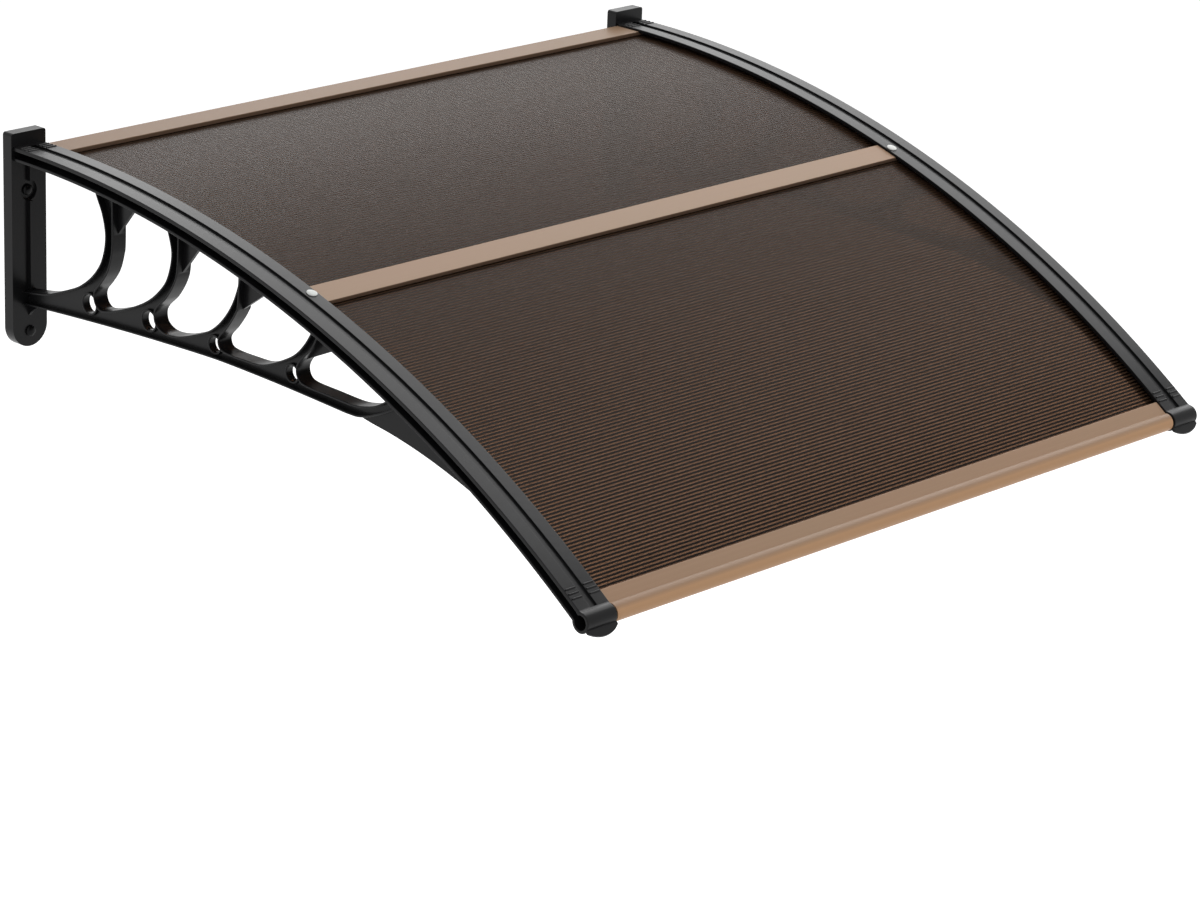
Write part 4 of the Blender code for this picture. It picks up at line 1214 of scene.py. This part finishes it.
class CANOPY_OT_brackets(bpy.types.Operator):
    """Make both brackets"""

    bl_idname = "canopy.brackets"
    bl_label = "Brackets"

    def execute(self, context):
        settings = context.scene.canopy_brackets
        plastic = moulded_plastic("bracket_plastic", tuple(settings.colour), settings.roughness)
        left = make_bracket_mesh(settings)
        right = mirrored(left, "right_bracket_moulding")
        dress("left_bracket_moulding", left, plastic, "left_bracket")
        dress("right_bracket_moulding", right, plastic, "right_bracket")
        return {"FINISHED"}


class CANOPY_OT_sheets(bpy.types.Operator):
    """Make the rear and the front sheet"""

    bl_idname = "canopy.sheets"
    bl_label = "Fluted sheets"

    def execute(self, context):
        settings = context.scene.canopy_sheets
        beside_spine = along(max(BAR_SPINE / 2, BAR_SCREW_SHANK + SHANK_PLAY) + 2 * FIT)
        rear_start = angle_at(PLATE_DEPTH + FIT + REAR_BAR_WIDTH - SHEET_GRIP + FIT)
        front_end = KNUCKLE_ANGLE - along(FRONT_BAND_BACK - SHEET_GRIP + FIT)
        spans = {
            "rear": (rear_start, MIDDLE_BAR_ANGLE - beside_spine),
            "front": (MIDDLE_BAR_ANGLE + beside_spine, front_end),
        }
        for place, angles in spans.items():
            mesh = make_sheet_mesh(f"{place}_fluted_sheet", settings, *angles)
            pitch = flute_pitch(settings, *angles)
            plastic = tinted_sheet(f"{place}_tinted_plastic", settings, angles[0], pitch)
            dress(f"{place}_fluted_sheet", mesh, plastic, f"{place}_sheet")
        return {"FINISHED"}


class CANOPY_OT_bars(bpy.types.Operator):
    """Make the rear, the middle and the front bar"""

    bl_idname = "canopy.bars"
    bl_label = "Bars"

    def execute(self, context):
        settings = context.scene.canopy_bars
        colour = tuple(settings.paint)
        rear_painted_shade_colour = scaled(colour, REAR_BAR_PAINTED_SHADE)
        side_painted_shade_colour = scaled(colour, BAR_SIDE_PAINTED_SHADE)
        nose_painted_light_colour = scaled(colour, *NOSE_PAINTED_LIGHT)
        # The rear bar's paint is darkened as painted shade, the rear and middle bars' sides carry painted
        # shade, and the front bar's nose painted light
        bars = (
            ("rear", rear_bar_mesh, rear_painted_shade_colour, side_painted_shade_colour, REAR_BAR_GLOSS),
            ("middle", middle_bar_mesh, colour, side_painted_shade_colour, PAINT_GLOSS),
            ("front", front_bar_mesh, colour, nose_painted_light_colour, PAINT_GLOSS),
        )
        for place, mesh_for, face, side, gloss in bars:
            paint = satin_paint(f"{place}_bar_paint_and_painted_light", face, side, settings.roughness, gloss)
            dress(f"{place}_bar_profile", mesh_for(settings), paint, f"{place}_bar")
        return {"FINISHED"}


class CANOPY_OT_bar_screws(bpy.types.Operator):
    """Make the white-headed screws through the arms"""

    bl_idname = "canopy.bar_screws"
    bl_label = "Bar screws"

    def execute(self, context):
        settings = context.scene.canopy_bar_screws
        colour = tuple(settings.paint)
        paint = satin_paint("screw_paint", colour, colour, SCREW_ROUGHNESS)
        length = ARM_TOP + FIT - SLOT_FLOOR - BAR_SCREW_TIP
        profile = domed(settings.head_radius, settings.dome, BAR_SCREW_SHANK, length)
        place = arc_frame(MIDDLE_BAR_ANGLE)
        for name, side in (("left", -1), ("right", 1)):
            seat = place @ Matrix.Translation((side * (ARM_FACE - BAR_SCREW_INSET), 0, ARM_TOP + FIT))
            mesh = mesh_of(turned(profile, 48), f"{name}_bar_screw_domed")
            dress(f"{name}_bar_screw_domed", mesh, paint, f"{name}_bar_screw", seat)
        return {"FINISHED"}


class CANOPY_OT_screw_caps(bpy.types.Operator):
    """Make the caps over the wall screws"""

    bl_idname = "canopy.screw_caps"
    bl_label = "Screw caps"

    def execute(self, context):
        settings = context.scene.canopy_screw_caps
        plastic = moulded_plastic("cap_plastic", tuple(settings.colour), CAP_ROUGHNESS, CAP_GLOSS)
        profile = domed(settings.cap_radius, settings.dome, HOLE_RADIUS - CAP_STEM_PLAY, CAP_STEM)
        forward = Matrix.Rotation(pi / 2, 4, "X")
        seats = (PLATE_DEPTH - RECESS_DEPTH, PLATE_DEPTH)
        for name, side in (("left", -1), ("right", 1)):
            for up, seat, level in zip(screw_places(), seats, ("upper", "lower")):
                place = Matrix.Translation((side * ARM_MIDDLE, -seat - FIT, up)) @ forward
                cap = f"{name}_{level}_cap_domed"
                mesh = mesh_of(turned(profile, 40), cap)
                dress(cap, mesh, plastic, f"{name}_{level}_screw_cap", place)
        return {"FINISHED"}


def make_floor(settings):
    """A wide pale floor that shows white where nothing shades it, and isn't drawn from underneath."""
    bm = bmesh.new()
    bmesh.ops.create_grid(bm, x_segments=1, y_segments=1, size=60)
    bmesh.ops.translate(bm, verts=bm.verts, vec=(0, 0, -settings.floor_drop))
    floor = in_scene("floor", mesh_of(bm, "floor"))
    material, finish = new_finish("pale_floor")
    mottle = finish.noise(finish.place(), 0.8, 2.0)
    pale = tuple(settings.floor_colour)
    colour = finish.blend(mottle * 0.2, pale, scaled(pale, 0.97))
    matt = finish.shader("ShaderNodeBsdfDiffuse", {"Color": colour})
    glow = {"Color": (1, 1, 1), "Strength": finish.seen() * FLOOR_LIFT}
    lifted = finish.shader("ShaderNodeAddShader", {0: matt, 1: finish.shader("ShaderNodeEmission", glow)})
    below = finish.node("ShaderNodeNewGeometry").outputs["Backfacing"]
    finish.surface(finish.mixed(below, lifted, finish.shader("ShaderNodeBsdfTransparent")))
    floor.data.materials.append(material)


def make_light(settings):
    """A white room, which lights the pieces less from behind and above, and one soft lamp overhead."""
    world = bpy.data.worlds.new("studio")
    world.use_nodes = True
    bpy.context.scene.world = world
    finish = Finish(world.node_tree)
    seen = finish.seen()
    direction = finish.axes(finish.node("ShaderNodeTexCoord").outputs["Generated"])
    back = finish.term(direction, "Y")
    up = finish.term(direction, "Z")
    level = (ROOM_LEVEL - back * ROOM_BACK - up * ROOM_ABOVE).above(ROOM_LEAST)
    values = {"Color": (1, 1, 1), "Strength": seen + (1 - seen) * level}
    backdrop = finish.shader("ShaderNodeBackground", values)
    finish.node("ShaderNodeOutputWorld", {}, {"Surface": backdrop})
    data = bpy.data.lights.new("soft_lamp", "AREA")
    data.shape = "RECTANGLE"
    data.size, data.size_y = LAMP_SIZE
    data.energy = settings.lamp_power
    lamp = in_scene("soft_lamp", data)
    lamp.location = LAMP_PLACE
    aim = Vector(LAMP_AIM) - lamp.location
    lamp.rotation_mode = "QUATERNION"
    lamp.rotation_quaternion = aim.to_track_quat("-Z", "Y")


def make_camera():
    az, el, roll = CAMERA_AZIMUTH, CAMERA_ELEVATION, CAMERA_ROLL
    right = Vector((cos(az), sin(az), 0))
    back = Vector((sin(az) * cos(el), -cos(az) * cos(el), sin(el)))
    up = back.cross(right)
    across = right * cos(roll) + up * sin(roll)
    upright = up * cos(roll) - right * sin(roll)
    data = bpy.data.cameras.new("camera")
    data.lens = CAMERA_LENS
    data.sensor_width = SENSOR_WIDTH
    camera = in_scene("camera", data)
    turn = Matrix((across, upright, back)).transposed().to_4x4()
    camera.matrix_world = Matrix.Translation(CAMERA_PLACE) @ turn
    bpy.context.scene.camera = camera


class CANOPY_OT_stage(bpy.types.Operator):
    """Set the floor, the light and the camera"""

    bl_idname = "canopy.stage"
    bl_label = "Stage"

    def execute(self, context):
        settings = context.scene.canopy_stage
        make_floor(settings)
        make_light(settings)
        make_camera()
        context.scene.view_settings.view_transform = "Standard"
        context.scene.cycles.transparent_max_bounces = CLEAR_BOUNCES
        return {"FINISHED"}


class CANOPY_PT_parts(bpy.types.Panel):
    """Lists the canopy's pieces with their sizes and colours"""

    bl_idname = "CANOPY_PT_parts"
    bl_label = "Door canopy"
    bl_space_type = "VIEW_3D"
    bl_region_type = "UI"
    bl_category = "Canopy"

    def draw(self, context):
        for name, _, operator in PARTS:
            column = self.layout.column(align=True)
            column.operator(operator.bl_idname)
            settings = getattr(context.scene, name)
            for key in settings.__annotations__:
                column.prop(settings, key)


PARTS = (
    ("canopy_brackets", BracketSettings, CANOPY_OT_brackets),
    ("canopy_sheets", SheetSettings, CANOPY_OT_sheets),
    ("canopy_bars", BarSettings, CANOPY_OT_bars),
    ("canopy_bar_screws", BarScrewSettings, CANOPY_OT_bar_screws),
    ("canopy_screw_caps", ScrewCapSettings, CANOPY_OT_screw_caps),
    ("canopy_stage", StageSettings, CANOPY_OT_stage),
)


def register():
    for name, settings, operator in PARTS:
        bpy.utils.register_class(settings)
        bpy.utils.register_class(operator)
        setattr(bpy.types.Scene, name, PointerProperty(type=settings))
    bpy.utils.register_class(CANOPY_PT_parts)


def unregister():
    bpy.utils.unregister_class(CANOPY_PT_parts)
    for name, settings, operator in reversed(PARTS):
        delattr(bpy.types.Scene, name)
        bpy.utils.unregister_class(operator)
        bpy.utils.unregister_class(settings)


def main():
    register()
    bpy.ops.canopy.brackets()
    bpy.ops.canopy.sheets()
    bpy.ops.canopy.bars()
    bpy.ops.canopy.bar_screws()
    bpy.ops.canopy.screw_caps()
    bpy.ops.canopy.stage()


if __name__ == "__main__":
    main()
